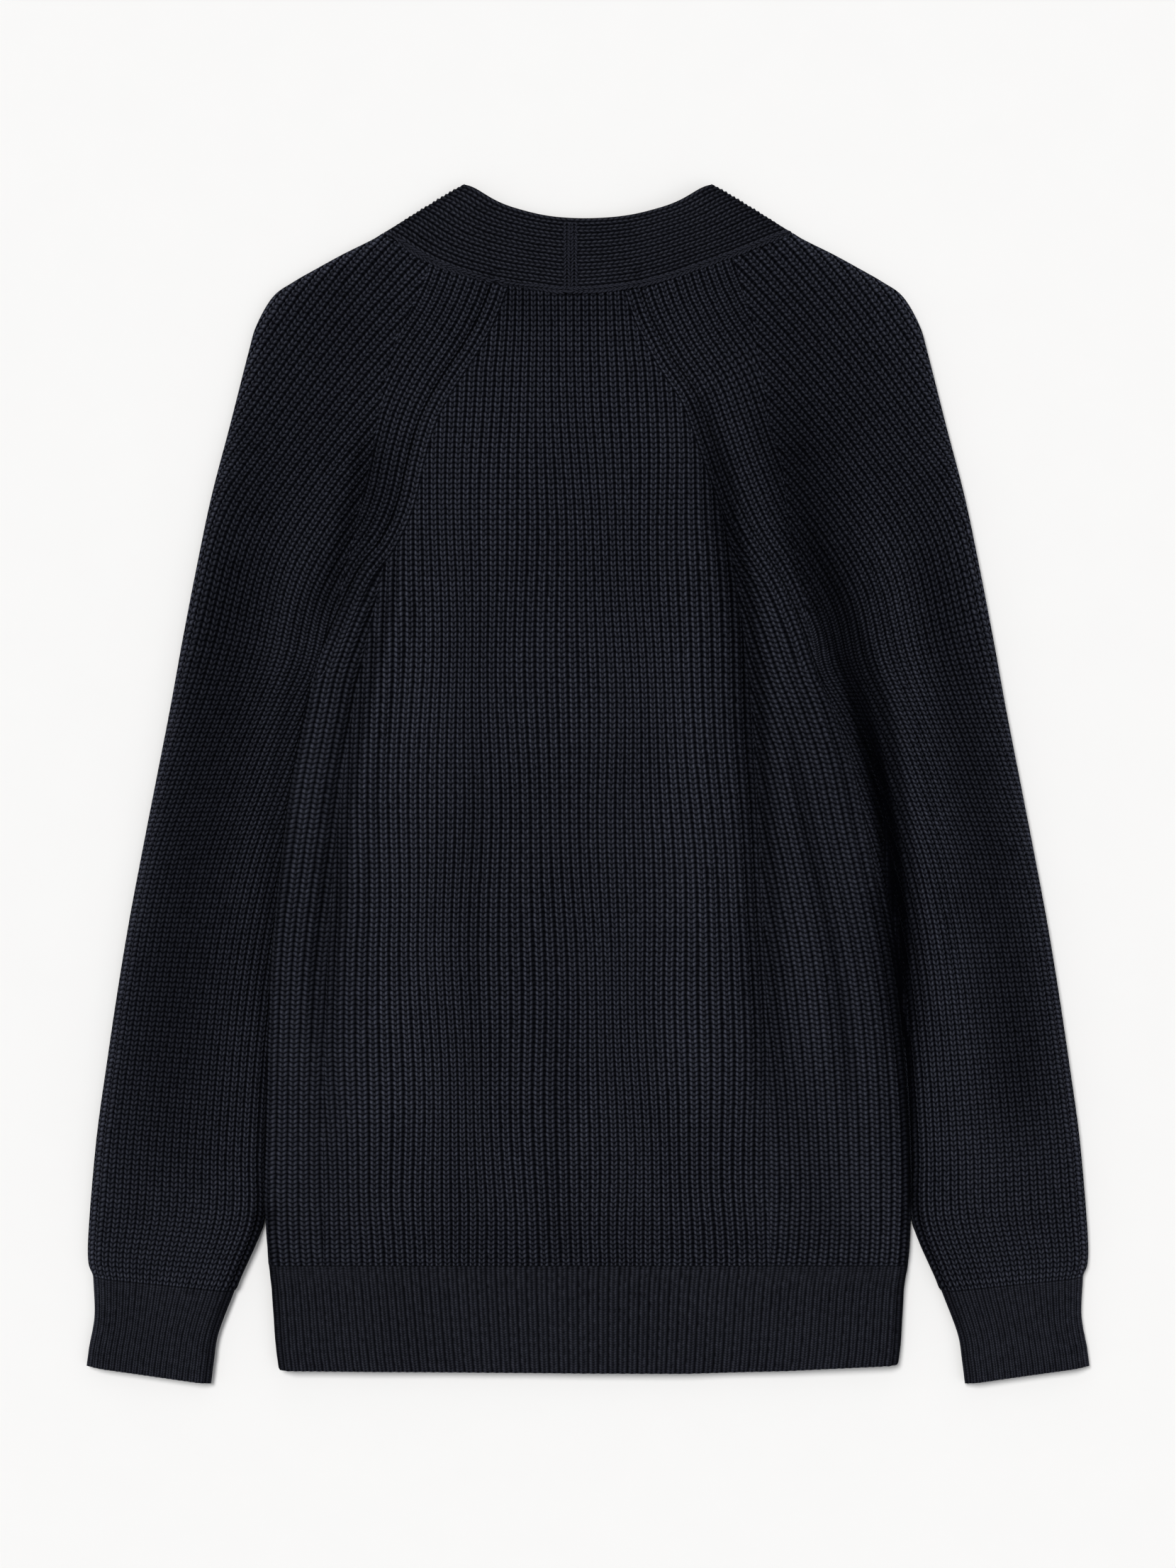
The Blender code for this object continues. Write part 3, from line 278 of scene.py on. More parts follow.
# The painted shadow in the gap where the right sleeve folds over itself beside the body: its line, how far the
# painted dark goes and where it ends, toward the body and toward the sleeve's own crisp fold
ONE_SIDED = "right underarm, soft"  # this stroke stops at the gap
UNDERARM_GAP = (
    (0.15, 0.105), (0.158, 0.08), (0.1655, 0.056), (0.1737, 0.022), (0.1838, -0.0285), (0.1898, -0.079),
    (0.1917, -0.119), (0.1943, -0.17), (0.1957, -0.22), (0.196, -0.262),
)
GAP_TO_BODY = (0.0036, 0.014)
GAP_TO_SLEEVE = (0.0034, 0.0046)
GAP_WIDTH = ((-0.262, 0.36), (-0.212, 0.46), (-0.13, 0.8), (-0.06, 1.0))  # y, share of those widths

# How far the wales lie closed, so that the rows of stitches show instead: x, share
ROWS_SHOW = (
    (-0.3, 1.0), (-0.24, 0.9), (-0.215, 0.2), (-0.197, 0.0), (-0.19, 0.9), (-0.15, 0.9), (-0.12, 0.1),
    (0.09, 0.1), (0.11, 0.7), (0.16, 0.9), (0.19, 0.5), (0.2, 0.0), (0.235, 0.8), (0.3, 1.0),
)
ROWS_FROM = (0.2, -0.02)  # y where that starts, going down, and where it is full
CLOSER_SHADE = 0.22  # how much darker the painted shading makes each such stitch


def smooth_path(points, steps=6):
    """A Catmull-Rom curve through the points, as an array of (x, y)."""
    p = np.array(points, float)
    p = np.vstack([2 * p[0] - p[1], p, 2 * p[-1] - p[-2]])
    t = np.linspace(0, 1, steps, endpoint=False)[:, None]
    runs = [
        0.5 * (2 * b + (c - a) * t + (2 * a - 5 * b + 4 * c - d) * t**2 + (3 * b - a - 3 * c + d) * t**3)
        for a, b, c, d in zip(p[:-3], p[1:-2], p[2:-1], p[3:])
    ]
    return np.vstack([*runs, p[-2][None]])


def mirrored(points):
    return [(-x, y) for x, y in points]


def smoothstep(value, low, high):
    t = np.clip((value - low) / (high - low), 0, 1)
    return t * t * (3 - 2 * t)


def by_y(path):
    path = path[np.argsort(path[:, 1])]
    return lambda y: np.interp(y, path[:, 1], path[:, 0])


def by_x(path):
    path = path[np.argsort(path[:, 0])]
    return lambda x: np.interp(x, path[:, 0], path[:, 1])


def lengths(path):
    return np.concatenate([[0], np.cumsum(np.hypot(*np.diff(path[:, :2], axis=0).T))])


def at_lengths(path, run, at):
    return np.stack([np.interp(at, run, path[:, k]) for k in (0, 1)], -1)


def along_path(path, share):
    run = lengths(path)
    return at_lengths(path, run, np.asarray(share) * run[-1])


def from_table(table, at):
    return np.interp(at, *zip(*table))


def uv_column(wale, course):
    return np.stack([np.full(len(course), wale), course], -1)


def placed(name, data):
    """A new object in the scene."""
    made = bpy.data.objects.new(name, data)
    bpy.context.scene.collection.objects.link(made)
    return made


OUTLINE = {"right": smooth_path(SLEEVE_OUTLINE), "left": smooth_path(mirrored(SLEEVE_OUTLINE))}
SIDE = {"left": smooth_path(LEFT_SEAM), "right": smooth_path(RIGHT_SEAM)}
INSIDE = {"right": smooth_path(SLEEVE_INSIDE), "left": smooth_path(mirrored(SLEEVE_INSIDE))}
FOLD_LINE = {"right": smooth_path(NECK_FOLD), "left": smooth_path(mirrored(NECK_FOLD))}
seam_x = {side: by_y(path) for side, path in SIDE.items()}
neck_seam_y = by_x(smooth_path(NECK_SEAM))
neck_edge_y = by_x(smooth_path(NECK_EDGE))
SIGN = {"left": -1, "right": 1}
SIDE_BELOW = {side: path[path[:, 1] < UNDERARM_Y] for side, path in SIDE.items()}
SIDE_FADE = {"left": (0.15, 0.02), "right": (0.000, -0.13)}


def distance_along(x, y, path, reach=None):
    """Distance from each point to a path and its nearest point's share along it. Past reach it isn't exact."""
    shape = np.shape(x)
    x, y = np.ravel(x), np.ravel(y)
    distance, along = np.full(x.size, 1.0), np.zeros(x.size)
    margin = 10.0 if reach is None else reach
    near = (
        (x > path[:, 0].min() - margin) & (x < path[:, 0].max() + margin)
        & (y > path[:, 1].min() - margin) & (y < path[:, 1].max() + margin)
    )
    start, step = path[:-1], np.diff(path, axis=0)
    length = np.hypot(step[:, 0], step[:, 1])
    before = np.concatenate([[0], np.cumsum(length)])
    for some in np.array_split(np.flatnonzero(near), max(1, int(near.sum()) // 20000)):
        dx = np.subtract.outer(x[some], start[:, 0])
        dy = np.subtract.outer(y[some], start[:, 1])
        t = np.clip((dx * step[:, 0] + dy * step[:, 1]) / length**2, 0, 1)
        gap = np.hypot(dx - t * step[:, 0], dy - t * step[:, 1])
        nearest = gap.argmin(-1)
        part = np.take_along_axis(t, nearest[:, None], -1)[:, 0]
        distance[some] = gap[np.arange(len(some)), nearest]
        along[some] = (before[nearest] + part * length[nearest]) / before[-1]
    return distance.reshape(shape), along.reshape(shape)


def rounded(height, base, distance, width, power=1.0):
    return base + (height - base) * np.sin(np.pi / 2 * np.clip(distance / width, 0, 1)) ** power


def stroke(x, y, line, half, strength, fades, side=1.0):
    """A soft stroke along a given line. It fades in and out over two shares of the line's length."""
    distance, along = distance_along(x, y, smooth_path(line, 4), half)
    ends = smoothstep(along, 0, fades[0]) * (1 - smoothstep(along, 1 - fades[1], 1)) * side
    return strength * ends * (0.5 + 0.5 * np.cos(np.pi * np.clip(distance / half, 0, 1)))


FOLD_FADES = (0.22, 0.28)
NECK_DROP_WIDTH = 0.06
SLEEVE_BLEND = 0.04  # beyond the seam, where the sleeve's height takes over from the body's
WAVES = ((0.00035, 31, 17, 1.3), (0.0003, -43, 29, 0.4))  # height, radians per metre along x and y, start
RAGLAN_DRAW = (0.0016, 0.0026)  # how deep and how wide the seams draw in
HEM_DRAW = (0.001, 0.0035)


def ground_height(x, y):
    """Height of the upper layer's knit ground over the floor."""
    body = from_table(BODY_HEIGHT, y)
    body = body - NECK_DROP * smoothstep(y, 0.14, 0.29) * np.exp(-(((x - CENTRE_X) / NECK_DROP_WIDTH) ** 2))
    beyond = np.maximum(seam_x["left"](y) - x, x - seam_x["right"](y))
    share = smoothstep(beyond, 0.0, SLEEVE_BLEND)
    height = body * (1 - share) + from_table(SLEEVE_HEIGHT, y) * share
    for _, half, rise, line in FOLDS + CREASES:
        height = height + stroke(x, y, line, half, rise, FOLD_FADES)
    # slow unevenness of a heavy knit that was smoothed out by hand
    for rise, across, up, start in WAVES:
        height = height + rise * np.sin(across * x + up * y + start)
    height = height + 0.00022 * np.sin(88 * x + 23 * y + 2.1) * np.sin(19 * x - 61 * y + 0.8)
    for side in SIGN:
        raglan = SIDE[side][SIDE[side][:, 1] >= UNDERARM_Y - 0.01]
        distance = distance_along(x, y, raglan, 0.012)[0]
        height = height - RAGLAN_DRAW[0] * np.exp(-((distance / RAGLAN_DRAW[1]) ** 2))
    inside = smoothstep(-beyond, -0.001, 0.001)
    height = height - HEM_DRAW[0] * inside * np.exp(-(((y - HEM_TOP_Y) / HEM_DRAW[1]) ** 2))
    for side in SIGN:
        low = SIDE_HEIGHT - 0.001 + (GROOVE_HEIGHT[side] - SIDE_HEIGHT + 0.001) * smoothstep(y, -0.285, -0.235)
        turned = rounded(height, low, distance_along(x, y, SIDE_BELOW[side], 0.03)[0], SIDE_ROUND, 0.75)
        fade = 1 - smoothstep(y, SIDE_FADE[side][1], SIDE_FADE[side][0])
        height = height * (1 - fade) + turned * fade
        for path, width in (
            (OUTLINE[side], OUTLINE_ROUND), (FOLD_LINE[side], OUTLINE_ROUND), (INSIDE[side], SIDE_ROUND),
        ):
            height = rounded(height, EDGE_HEIGHT, distance_along(x, y, path, 0.03)[0], width)
    return height


PAINTED_RIM_LIGHT, RIM_WIDTH = 0.55, 0.004  # painted light along the turned edge of the garment, where it catches more light


class Ground:
    """The ground's height and slope, worked out once on a fine grid and read between its points."""

    STEP = 0.00125

    def __init__(self):
        self.low = np.array([-0.312, -0.372])
        counts = [int(0.624 / self.STEP) + 1, int(0.744 / self.STEP) + 1]
        xs, ys = (self.low[c] + self.STEP * np.arange(counts[c]) for c in (0, 1))
        self.z = ground_height(*np.meshgrid(xs, ys, indexing="ij"))
        self.slope = np.gradient(self.z, self.STEP)
        # painted shading, which the knit's colour is multiplied by
        self.open = self.shading_to_paint(xs, ys)

    def shading_to_paint(self, xs, ys):
        """The painted shading at each point, which the stitches' colour is multiplied by: painted shade from what it
        sees of the sky, how far it is turned and the painted strokes, a painted shadow in the underarm gap and
        painted light along the rim.
        """
        x, y = np.meshgrid(xs, ys, indexing="ij")
        turned = 1 / (1 + self.slope[0] ** 2 + self.slope[1] ** 2)
        # painted shade where a point sees less of the sky or is turned away from it
        kept = self.sky_seen() ** 1.5 * turned**0.4
        rim = np.minimum(*(distance_along(x, y, OUTLINE[side], 0.02)[0] for side in SIGN))
        gap = smooth_path(UNDERARM_GAP, 4)
        # the painted shade fades out close to the outline
        kept = 1 - (1 - kept) * smoothstep(rim, 0.006, 0.018)
        past = smoothstep(x - by_y(gap)(y), 0.0, 0.004) * smoothstep(y, 0.125, 0.07)
        # painted shade and painted light from the strokes
        for name, half, stays, fades, line in PAINTED_SHADES:
            side = 1 - 0.8 * past if name == ONE_SIDED else 1.0
            kept = kept * (1 - stroke(x, y, line, half, 1 - stays, fades, side))
        # painted shadow in the gap where the right sleeve folds over itself
        distance, along = distance_along(x, y, gap, 0.02)
        ends = smoothstep(along, 0, 0.3) * (1 - smoothstep(along, 0.97, 1))
        distance = distance / from_table(GAP_WIDTH, y)
        to_body, to_sleeve = smoothstep(distance, *GAP_TO_BODY), smoothstep(distance, *GAP_TO_SLEEVE)
        dark = 1 - np.where(x < by_y(gap)(y), to_body, to_sleeve)
        # painted light along the rim
        return kept * (1 - ends * dark) + PAINTED_RIM_LIGHT * np.exp(-((rim / RIM_WIDTH) ** 2))

    def sky_seen(self):
        """The share of the sky that each point of the grid sees over the folds around it."""
        seen = np.zeros_like(self.z)
        turns = 12
        for turn in range(turns):
            angle = 2 * math.pi * turn / turns
            rise = np.zeros_like(self.z)
            for reach in (2, 3, 4, 6, 8, 11, 15, 20):
                dx, dy = int(round(reach * math.cos(angle))), int(round(reach * math.sin(angle)))
                far = math.hypot(dx, dy) * self.STEP
                other = np.roll(self.z, (-dx, -dy), axis=(0, 1))
                rise = np.maximum(rise, (other - self.z) / far)
            seen += 1 / (1 + rise**2) / turns
        return seen

    def read(self, table, x, y):
        at = [(np.asarray(v) - self.low[c]) / self.STEP for c, v in enumerate((x, y))]
        low = [np.clip(np.floor(v).astype(int), 0, table.shape[c] - 2) for c, v in enumerate(at)]
        a, b = (np.clip(v - l, 0, 1) for v, l in zip(at, low))
        i, j = low
        return (
            table[i, j] * (1 - a) * (1 - b) + table[i + 1, j] * a * (1 - b)
            + table[i, j + 1] * (1 - a) * b + table[i + 1, j + 1] * a * b
        )

    def outer(self, x, y, rise):
        """Points raised from the ground along its normal."""
        sx, sy = (self.read(s, x, y) for s in self.slope)
        size = np.sqrt(1 + sx**2 + sy**2)
        return np.stack([x - rise * sx / size, y - rise * sy / size, self.read(self.z, x, y) + rise / size], -1)

    def inner(self, x, y, floor, plumb=False):
        """Points a wall's thickness under the ground."""
        lean = np.where(plumb, 0.0, 1.0)
        sx, sy = (lean * self.read(s, x, y) for s in self.slope)
        size = np.sqrt(1 + sx**2 + sy**2)
        z = np.maximum(self.read(self.z, x, y) - WALL / size, floor)
        return np.stack([x + WALL * sx / size, y + WALL * sy / size, z], -1)


ground = Ground()


def knit_rise(wale, course, wale_rise=WALE_RISE, stitch_rise=STITCH_RISE):
    """Rise of the knit above its ground. A wale's two legs crest at a quarter and three quarters of its width,
    and each stitch swells between whole courses."""
    crown = np.sin(np.pi * wale) ** 2
    legs = 0.72 * np.abs(np.sin(2 * np.pi * wale)) + 0.28 * crown
    swell = np.abs(np.sin(np.pi * course)) ** 0.7
    uneven = 1 + 0.1 * np.sin(12.9898 * np.floor(wale) + 78.233 * np.floor(course))
    return wale_rise * crown + stitch_rise * legs * swell * uneven


def row_rise(wale, course, rise=0.0009, stitch_rise=0.0006):
    """Rise of a fine rib, whose legs all stand alike."""
    legs = np.abs(np.sin(2 * np.pi * wale))
    return legs * (rise + stitch_rise * np.abs(np.sin(np.pi * course)) ** 0.7)


LEG_SLANT = (0.0, -0.22, -0.42, -0.22)  # courses by which the valley, a leg, the middle and a leg lag


class Shell:
    """The points and faces of one closed piece of cloth, with its wale and course numbers as its UV map."""

    def __init__(self):
        self.points, self.uv, self.faces, self.count = [], [], [], 0

    def column(self, points, uv):
        first = self.count
        self.points.append(np.asarray(points, float))
        self.uv.append(np.asarray(uv, float))
        self.count += len(points)
        return list(range(first, self.count))

    def zip(self, a, b, key_a, key_b):
        """Triangles between two columns, point against point by their keys."""
        i = j = 0
        while i < len(a) - 1 or j < len(b) - 1:
            last_a, last_b = i == len(a) - 1, j == len(b) - 1
            if last_b or (not last_a and key_a[i] + key_a[i + 1] <= key_b[j] + key_b[j + 1]):
                self.faces.append((a[i], a[i + 1], b[j]))
                i += 1
            else:
                self.faces.append((a[i], b[j + 1], b[j]))
                j += 1

    def skin(self, columns):
        """columns: (points, uv, keys) for each. Returns their numbers and keys."""
        made = [(self.column(points, uv), keys) for points, uv, keys in columns]
        for (a, key_a), (b, key_b) in zip(made, made[1:]):
            self.zip(a, b, key_a, key_b)
        return made

    def rim(self, outer, inner, end):
        """Closes the wall along the ends of the outer and inner columns."""
        rows = []
        for made in (outer, inner):
            row = [numbers[end] for numbers, _ in made]
            rows.append((row, self.share(row)))
        self.zip(rows[0][0], rows[1][0], rows[0][1], rows[1][1])

    def share(self, row):
        points = np.vstack(self.points)[row]
        run = lengths(points)
        return run / max(run[-1], 1e-9)

    def sheet(self, outer, inner):
        outer, inner = self.skin(outer), self.skin(inner)
        self.rim(outer, inner, 0)
        self.rim(outer, inner, -1)
        for side in (0, -1):
            self.zip(outer[side][0], inner[side][0], self.share(outer[side][0]), self.share(inner[side][0]))

    def tube(self, outer, inner):
        outer, inner = self.skin(outer), self.skin(inner)
        for made in (outer, inner):
            self.zip(made[-1][0], made[0][0], made[-1][1], made[0][1])
            made.append(made[0])
        self.rim(outer, inner, 0)
        self.rim(outer, inner, -1)

    def piece(self, name, material):
        points, uv = np.vstack(self.points), np.vstack(self.uv)
        mesh = bpy.data.meshes.new(name)
        mesh.from_pydata(points.tolist(), [], self.faces)
        loops = np.empty(len(mesh.loops), int)
        mesh.loops.foreach_get("vertex_index", loops)
        made = finished(name, mesh, uv[loops], material)
        work = bmesh.new()
        work.from_mesh(mesh)
        bmesh.ops.recalc_face_normals(work, faces=work.faces)
        work.to_mesh(mesh)
        work.free()
        return made


def finished(name, mesh, uv, material):
    """A piece of cloth, from its mesh and the wale and course numbers at the corners of its faces."""
    mesh.uv_layers.new(name="knit").data.foreach_set("uv", uv.ravel())
    mark_painted_light(mesh)
    mesh.shade_smooth()
    mesh.materials.append(material)
    return placed(name, mesh)


def mark_painted_light(mesh):
    """Keeps on each point its painted shading, from how much of the sky it sees past the folds and the painted
    strokes, and how far the wales lie closed.
    """
    places = np.empty(len(mesh.vertices) * 3)
    mesh.vertices.foreach_get("co", places)
    x, y, _ = places.reshape(-1, 3).T
    above_hem = smoothstep(y, HEM_TOP_Y - 0.016, HEM_TOP_Y - 0.004)
    closed = from_table(ROWS_SHOW, x) * smoothstep(y, *ROWS_FROM) * above_hem
    # painted shading, made darker where the wales lie closed
    seen = ground.read(ground.open, x, y) * (1 - CLOSER_SHADE * closed)
    for name, values in (("open", seen), ("closed", closed)):
        layer = mesh.attributes.new(name, "FLOAT", "POINT")
        layer.data.foreach_set("value", values.astype(np.float32))


# ---- panels with several fields of knit ----

def even(path, step=EDGE_STEP):
    """The path in even steps."""
    return along_path(path, np.linspace(0, 1, max(2, int(round(lengths(path)[-1] / step)) + 1)))


def tree_of(points):
    tree = KDTree(len(points))
    for number, (x, y) in enumerate(points.tolist()):
        tree.insert((x, y, 0), number)
    tree.balance()
    return tree


def distances(tree, points):
    return np.array([tree.find((x, y, 0))[2] for x, y in points.tolist()])


def within(points, ring):
    """Which points lie inside a closed ring."""
    inside = np.zeros(len(points), bool)
    start, end = ring, np.roll(ring, -1, axis=0)
    for some in np.array_split(np.arange(len(points)), max(1, len(points) // 3000)):
        x, y = points[some, :1], points[some, 1:]
        spans = (start[:, 1] > y) != (end[:, 1] > y)
        with np.errstate(divide="ignore", invalid="ignore"):
            across = (end[:, 0] - start[:, 0]) * (y - start[:, 1]) / (end[:, 1] - start[:, 1]) + start[:, 0]
        inside[some] = (spans & (x < across)).sum(1) % 2 == 1
    return inside


class Field:
    """Wales and rows of one field of knit: a grid of points, four to a wale and two to a row of stitches."""

    def __init__(self, plain, first_wale, holds):
        columns, rows = plain.shape[:2]
        self.plain, self.first, self.holds = plain, first_wale, holds
        self.xy = np.empty_like(plain)
        place = np.arange(rows)
        for c in range(columns):
            moved = place + 2 * LEG_SLANT[c % 4]
            for k in (0, 1):
                self.xy[c, :, k] = np.interp(moved, place, plain[c, :, k])
        wale = first_wale + np.arange(columns) / 4
        self.uv = np.stack(np.meshgrid(wale, place / 2, indexing="ij"), -1)
        self.tree = tree_of(plain.reshape(-1, 2))

    def read(self, points):
        """Wale and course numbers at any points."""
        columns, rows = self.plain.shape[:2]
        at = np.array([self.tree.find((x, y, 0))[1] for x, y in points.tolist()])
        c, r = np.clip(at // rows, 1, columns - 2), np.clip(at % rows, 1, rows - 2)
        across = (self.plain[c + 1, r] - self.plain[c - 1, r]) / 2
        along = (self.plain[c, r + 1] - self.plain[c, r - 1]) / 2
        off = points - self.plain[c, r]
        size = across[:, 0] * along[:, 1] - across[:, 1] * along[:, 0]
        dc = (off[:, 0] * along[:, 1] - off[:, 1] * along[:, 0]) / size
        dr = (across[:, 0] * off[:, 1] - across[:, 1] * off[:, 0]) / size
        slant = np.interp((c + dc) % 4, range(5), (*LEG_SLANT, LEG_SLANT[0]))
        return np.stack([self.first + (c + dc) / 4, (r + dr) / 2 - slant], -1)


RING_CLEAR, FIELD_CLEAR = 0.0008, 0.0006  # least distance of dividing lines from the ring, and of stitches from both


def triangles(points, ring_size):
    """Triangles over points, the first of which make the ring around them."""
    made = delaunay_2d_cdt([Vector(v) for v in points.tolist()], [], [list(range(ring_size))], 1, 1e-7)
    return np.array([o[0] for o in made[3]])[np.array(made[2])]


def make_panel(name, ring, fields, lines, floor, material):
    """A closed panel within a ring: the knit of its fields outside, a plain face inside, a wall between."""
    ring_tree = tree_of(ring)
    dividing = np.vstack(lines)
    dividing = dividing[within(dividing, ring) & (distances(ring_tree, dividing) > RING_CLEAR)]
    line_tree = tree_of(dividing)
    bare = len(ring) + len(dividing)
    points, uv, owner = [ring, dividing], [np.zeros((bare, 2))], [np.full(bare, -1)]
    for number, field in enumerate(fields):
        xy, own = field.xy.reshape(-1, 2), field.uv.reshape(-1, 2)
        for test in (
            lambda p: field.holds(p[:, 0], p[:, 1]), lambda p: within(p, ring),
            lambda p: distances(ring_tree, p) > FIELD_CLEAR, lambda p: distances(line_tree, p) > FIELD_CLEAR,
        ):
            keep = test(xy)
            xy, own = xy[keep], own[keep]
        points.append(xy)
        uv.append(own)
        owner.append(np.full(len(xy), number))
    points, uv, owner = np.vstack(points), np.vstack(uv), np.concatenate(owner)
    # the knit flattens toward the edges and the dividing lines
    fade = 0.35 + 0.65 * smoothstep(distances(ring_tree, points), 0.0003, 0.0022)
    fade = fade * (0.55 + 0.45 * smoothstep(distances(line_tree, points), 0.0003, 0.002))
    height = np.where(owner >= 0, knit_rise(uv[:, 0], uv[:, 1]) * fade, 0.0002)
    outer = ground.outer(points[:, 0], points[:, 1], height)
    outer[: len(ring), :2] = ring
    faces = triangles(points, len(ring))
    centres = points[faces].mean(1)
    face_uv = uv[faces]
    for number, field in enumerate(fields):
        here = field.holds(centres[:, 0], centres[:, 1])
        foreign = here[:, None] & (owner[faces] != number)
        which = np.unique(faces[foreign])
        if len(which):
            table = np.zeros((len(points), 2))
            table[which] = field.read(points[which])
            face_uv = np.where(foreign[..., None], table[faces], face_uv)
    # the plain inner face
    low, high = ring.min(0), ring.max(0)
    grid = np.stack(np.meshgrid(*(np.arange(low[k], high[k], INSIDE_STEP) for k in (0, 1))), -1).reshape(-1, 2)
    grid = grid[within(grid, ring)]
    inside = np.vstack([ring, grid[distances(ring_tree, grid) > 0.004]])
    slope = [ground.read(s, *inside.T) for s in ground.slope]
    deep = WALL * np.minimum(np.sqrt(1 + slope[0] ** 2 + slope[1] ** 2), 1.5)
    inner = np.column_stack([inside, np.maximum(ground.read(ground.z, *inside.T) - deep, floor)])
    under = triangles(inside, len(ring))[:, ::-1] + len(points)
    a = np.arange(len(ring))
    b = (a + 1) % len(ring)
    wall = np.vstack([np.stack([a, a + len(points), b], 1), np.stack([b, a + len(points), b + len(points)], 1)])
    rest = np.vstack([under, wall])
    every = np.vstack([outer, inner])
    mesh = bpy.data.meshes.new(name)
    mesh.from_pydata(every.tolist(), [], np.vstack([faces, rest]).tolist())
    return finished(name, mesh, np.vstack([face_uv.reshape(-1, 2), every[rest.ravel(), :2] * (200, 300)]), material)


def raglan_line(side, beyond=0.0):
    """The raglan seam from just under the underarm to the neckband, and on past both by some length."""
    path = SIDE[side]
    path = path[(path[:, 1] > UNDERARM_Y - 0.006) & (path[:, 1] < neck_seam_y(path[:, 0]) - 0.0004)][::-1]
    if beyond:
        first = path[0] - (path[6] - path[0]) / np.hypot(*(path[6] - path[0])) * beyond
        last = path[-1] + (path[-1] - path[-8]) / np.hypot(*(path[-1] - path[-8])) * beyond
        path = np.vstack([first, path, last])
    return even(path, 0.001)


def sideways(path):
    """Unit vectors to the right of a path, smoothed along it."""
    step = np.gradient(path, axis=0)
    window = np.ones(25) / 25
    padded = np.pad(step, ((12, 12), (0, 0)), mode="edge")
    step = np.stack([np.convolve(padded[:, k], window, "valid") for k in (0, 1)], -1)
    step /= np.hypot(step[:, 0], step[:, 1])[:, None]
    return np.stack([step[:, 1], -step[:, 0]], -1)


def border_field(side, sign, wales, course, holds):
    """A field whose wales run along the raglan seam, on the side of it that sign points to."""
    path = raglan_line(side, 0.04)
    run = lengths(path)
    at = np.arange(0, run[-1], course / 2)
    base, push = at_lengths(path, run, at), at_lengths(sign * sideways(path), run, at)
    wide = np.arange(wales * 4 + 1) / 4 * BORDER_WALE
    return Field(base[None] + push[None] * wide[:, None, None], 0, holds)


def neck_between(start, end):
    """Points of the neck seam between two places along it."""
    xs = np.linspace(start, end, 90)[1:-1]
    return np.column_stack([xs, neck_seam_y(xs)])


def side_ring(side):
    """The body's side from the hem's top edge up to the neckband."""
    path = SIDE[side]
    path = path[(path[:, 1] > HEM_TOP_Y + 0.0006) & (path[:, 1] < neck_seam_y(path[:, 0]) - 0.0006)][::-1]
    low = (float(seam_x[side](HEM_TOP_Y)), HEM_TOP_Y)
    ys = np.linspace(path[-1, 1], path[-1, 1] + 0.02, 400)
    xs = path[-1, 0] + (path[-1, 0] - path[-6, 0]) / (path[-1, 1] - path[-6, 1]) * (ys - path[-1, 1])
    crossing = int((ys > neck_seam_y(xs)).argmax())
    return even(np.vstack([low, path, (xs[crossing], ys[crossing])]))


# ---- the back ----

def hem_wale_x(wale, y):
    """x of a rib of the back's hem at height y. The ribs lean a little in the middle."""
    left, right = seam_x["left"](y) + SEAM, seam_x["right"](y) - SEAM
    turn = np.sin(2 * np.pi * wale / HEM_WALES)
    share = wale / HEM_WALES - HEM_CLOSER * turn
    lean = HEM_LEAN * (HEM_TOP_Y - y) * turn
    return left + (right - left) * share + lean


FOLD_AT_SIDE = {
    "left": ((-0.106, 0.215), (-0.113, 0.18), (-0.124, 0.13), (-0.137, 0.072), (-0.148, 0.01), (-0.155, -0.066),
             (-0.159, -0.14), (-0.16, -0.22), (-0.16, -0.3)),
    "right": ((0.06, 0.245), (0.073, 0.205), (0.08, 0.17), (0.088, 0.13), (0.097, 0.07), (0.102, 0.0),
              (0.106, -0.08), (0.109, -0.17), (0.11, -0.3)),
}
COURSE_HEIGHT = ((-0.29, 0.0028), (-0.2, 0.00282), (-0.05, 0.003), (0.15, 0.0031))  # y, height
SIDE_WALE = {"left": 0.0068, "right": 0.0062}
WALE_DRIFT, DRIFT_TURNS, DRIFT_START = 0.0022, 62.0, 1.84  # the wales lie closer here and wider there
MIDDLE_PITCH = (
    (-0.3, 0.0059), (-0.1, 0.0059), (0.05, 0.0056), (0.2, 0.0053), (0.25, 0.0051), (0.3, 0.0045),
)  # y, width of a wale


def middle_wale_x(wale, y):
    """x of a wale of the back between its two side folds."""
    pitch = from_table(MIDDLE_PITCH, y)
    middle = np.interp(y, (-0.3, 0.3), (0.0, -0.013))
    sway = 0.0012 * np.sin(21 * y + 0.35 * wale) + 0.0006 * np.sin(47 * y - 0.22 * wale + 1.0)
    x = middle + (wale - BACK_WALES / 2) * pitch
    x = x + WALE_DRIFT * np.sin(DRIFT_TURNS * x + DRIFT_START) * smoothstep(y, 0.22, 0.05)
    return x + sway * smoothstep(y, HEM_TOP_Y, -0.24)


def side_wale_x(side, wale, y):
    """x of a wale beyond a side fold, beside the body's side or its raglan seam's line."""
    number = wale if side == "left" else BACK_WALES - wale
    sway = 0.0007 * np.sin(24 * y + 0.5 * wale)
    return seam_x[side](y) - SIGN[side] * number * SIDE_WALE[side] + sway * smoothstep(y, HEM_TOP_Y, -0.24)


def back_border_line(side):
    path = raglan_line(side, 0.012)
    width = BACK_BORDER * smoothstep(lengths(path), 0.0, 0.03)
    return path - SIGN[side] * sideways(path) * width[:, None]


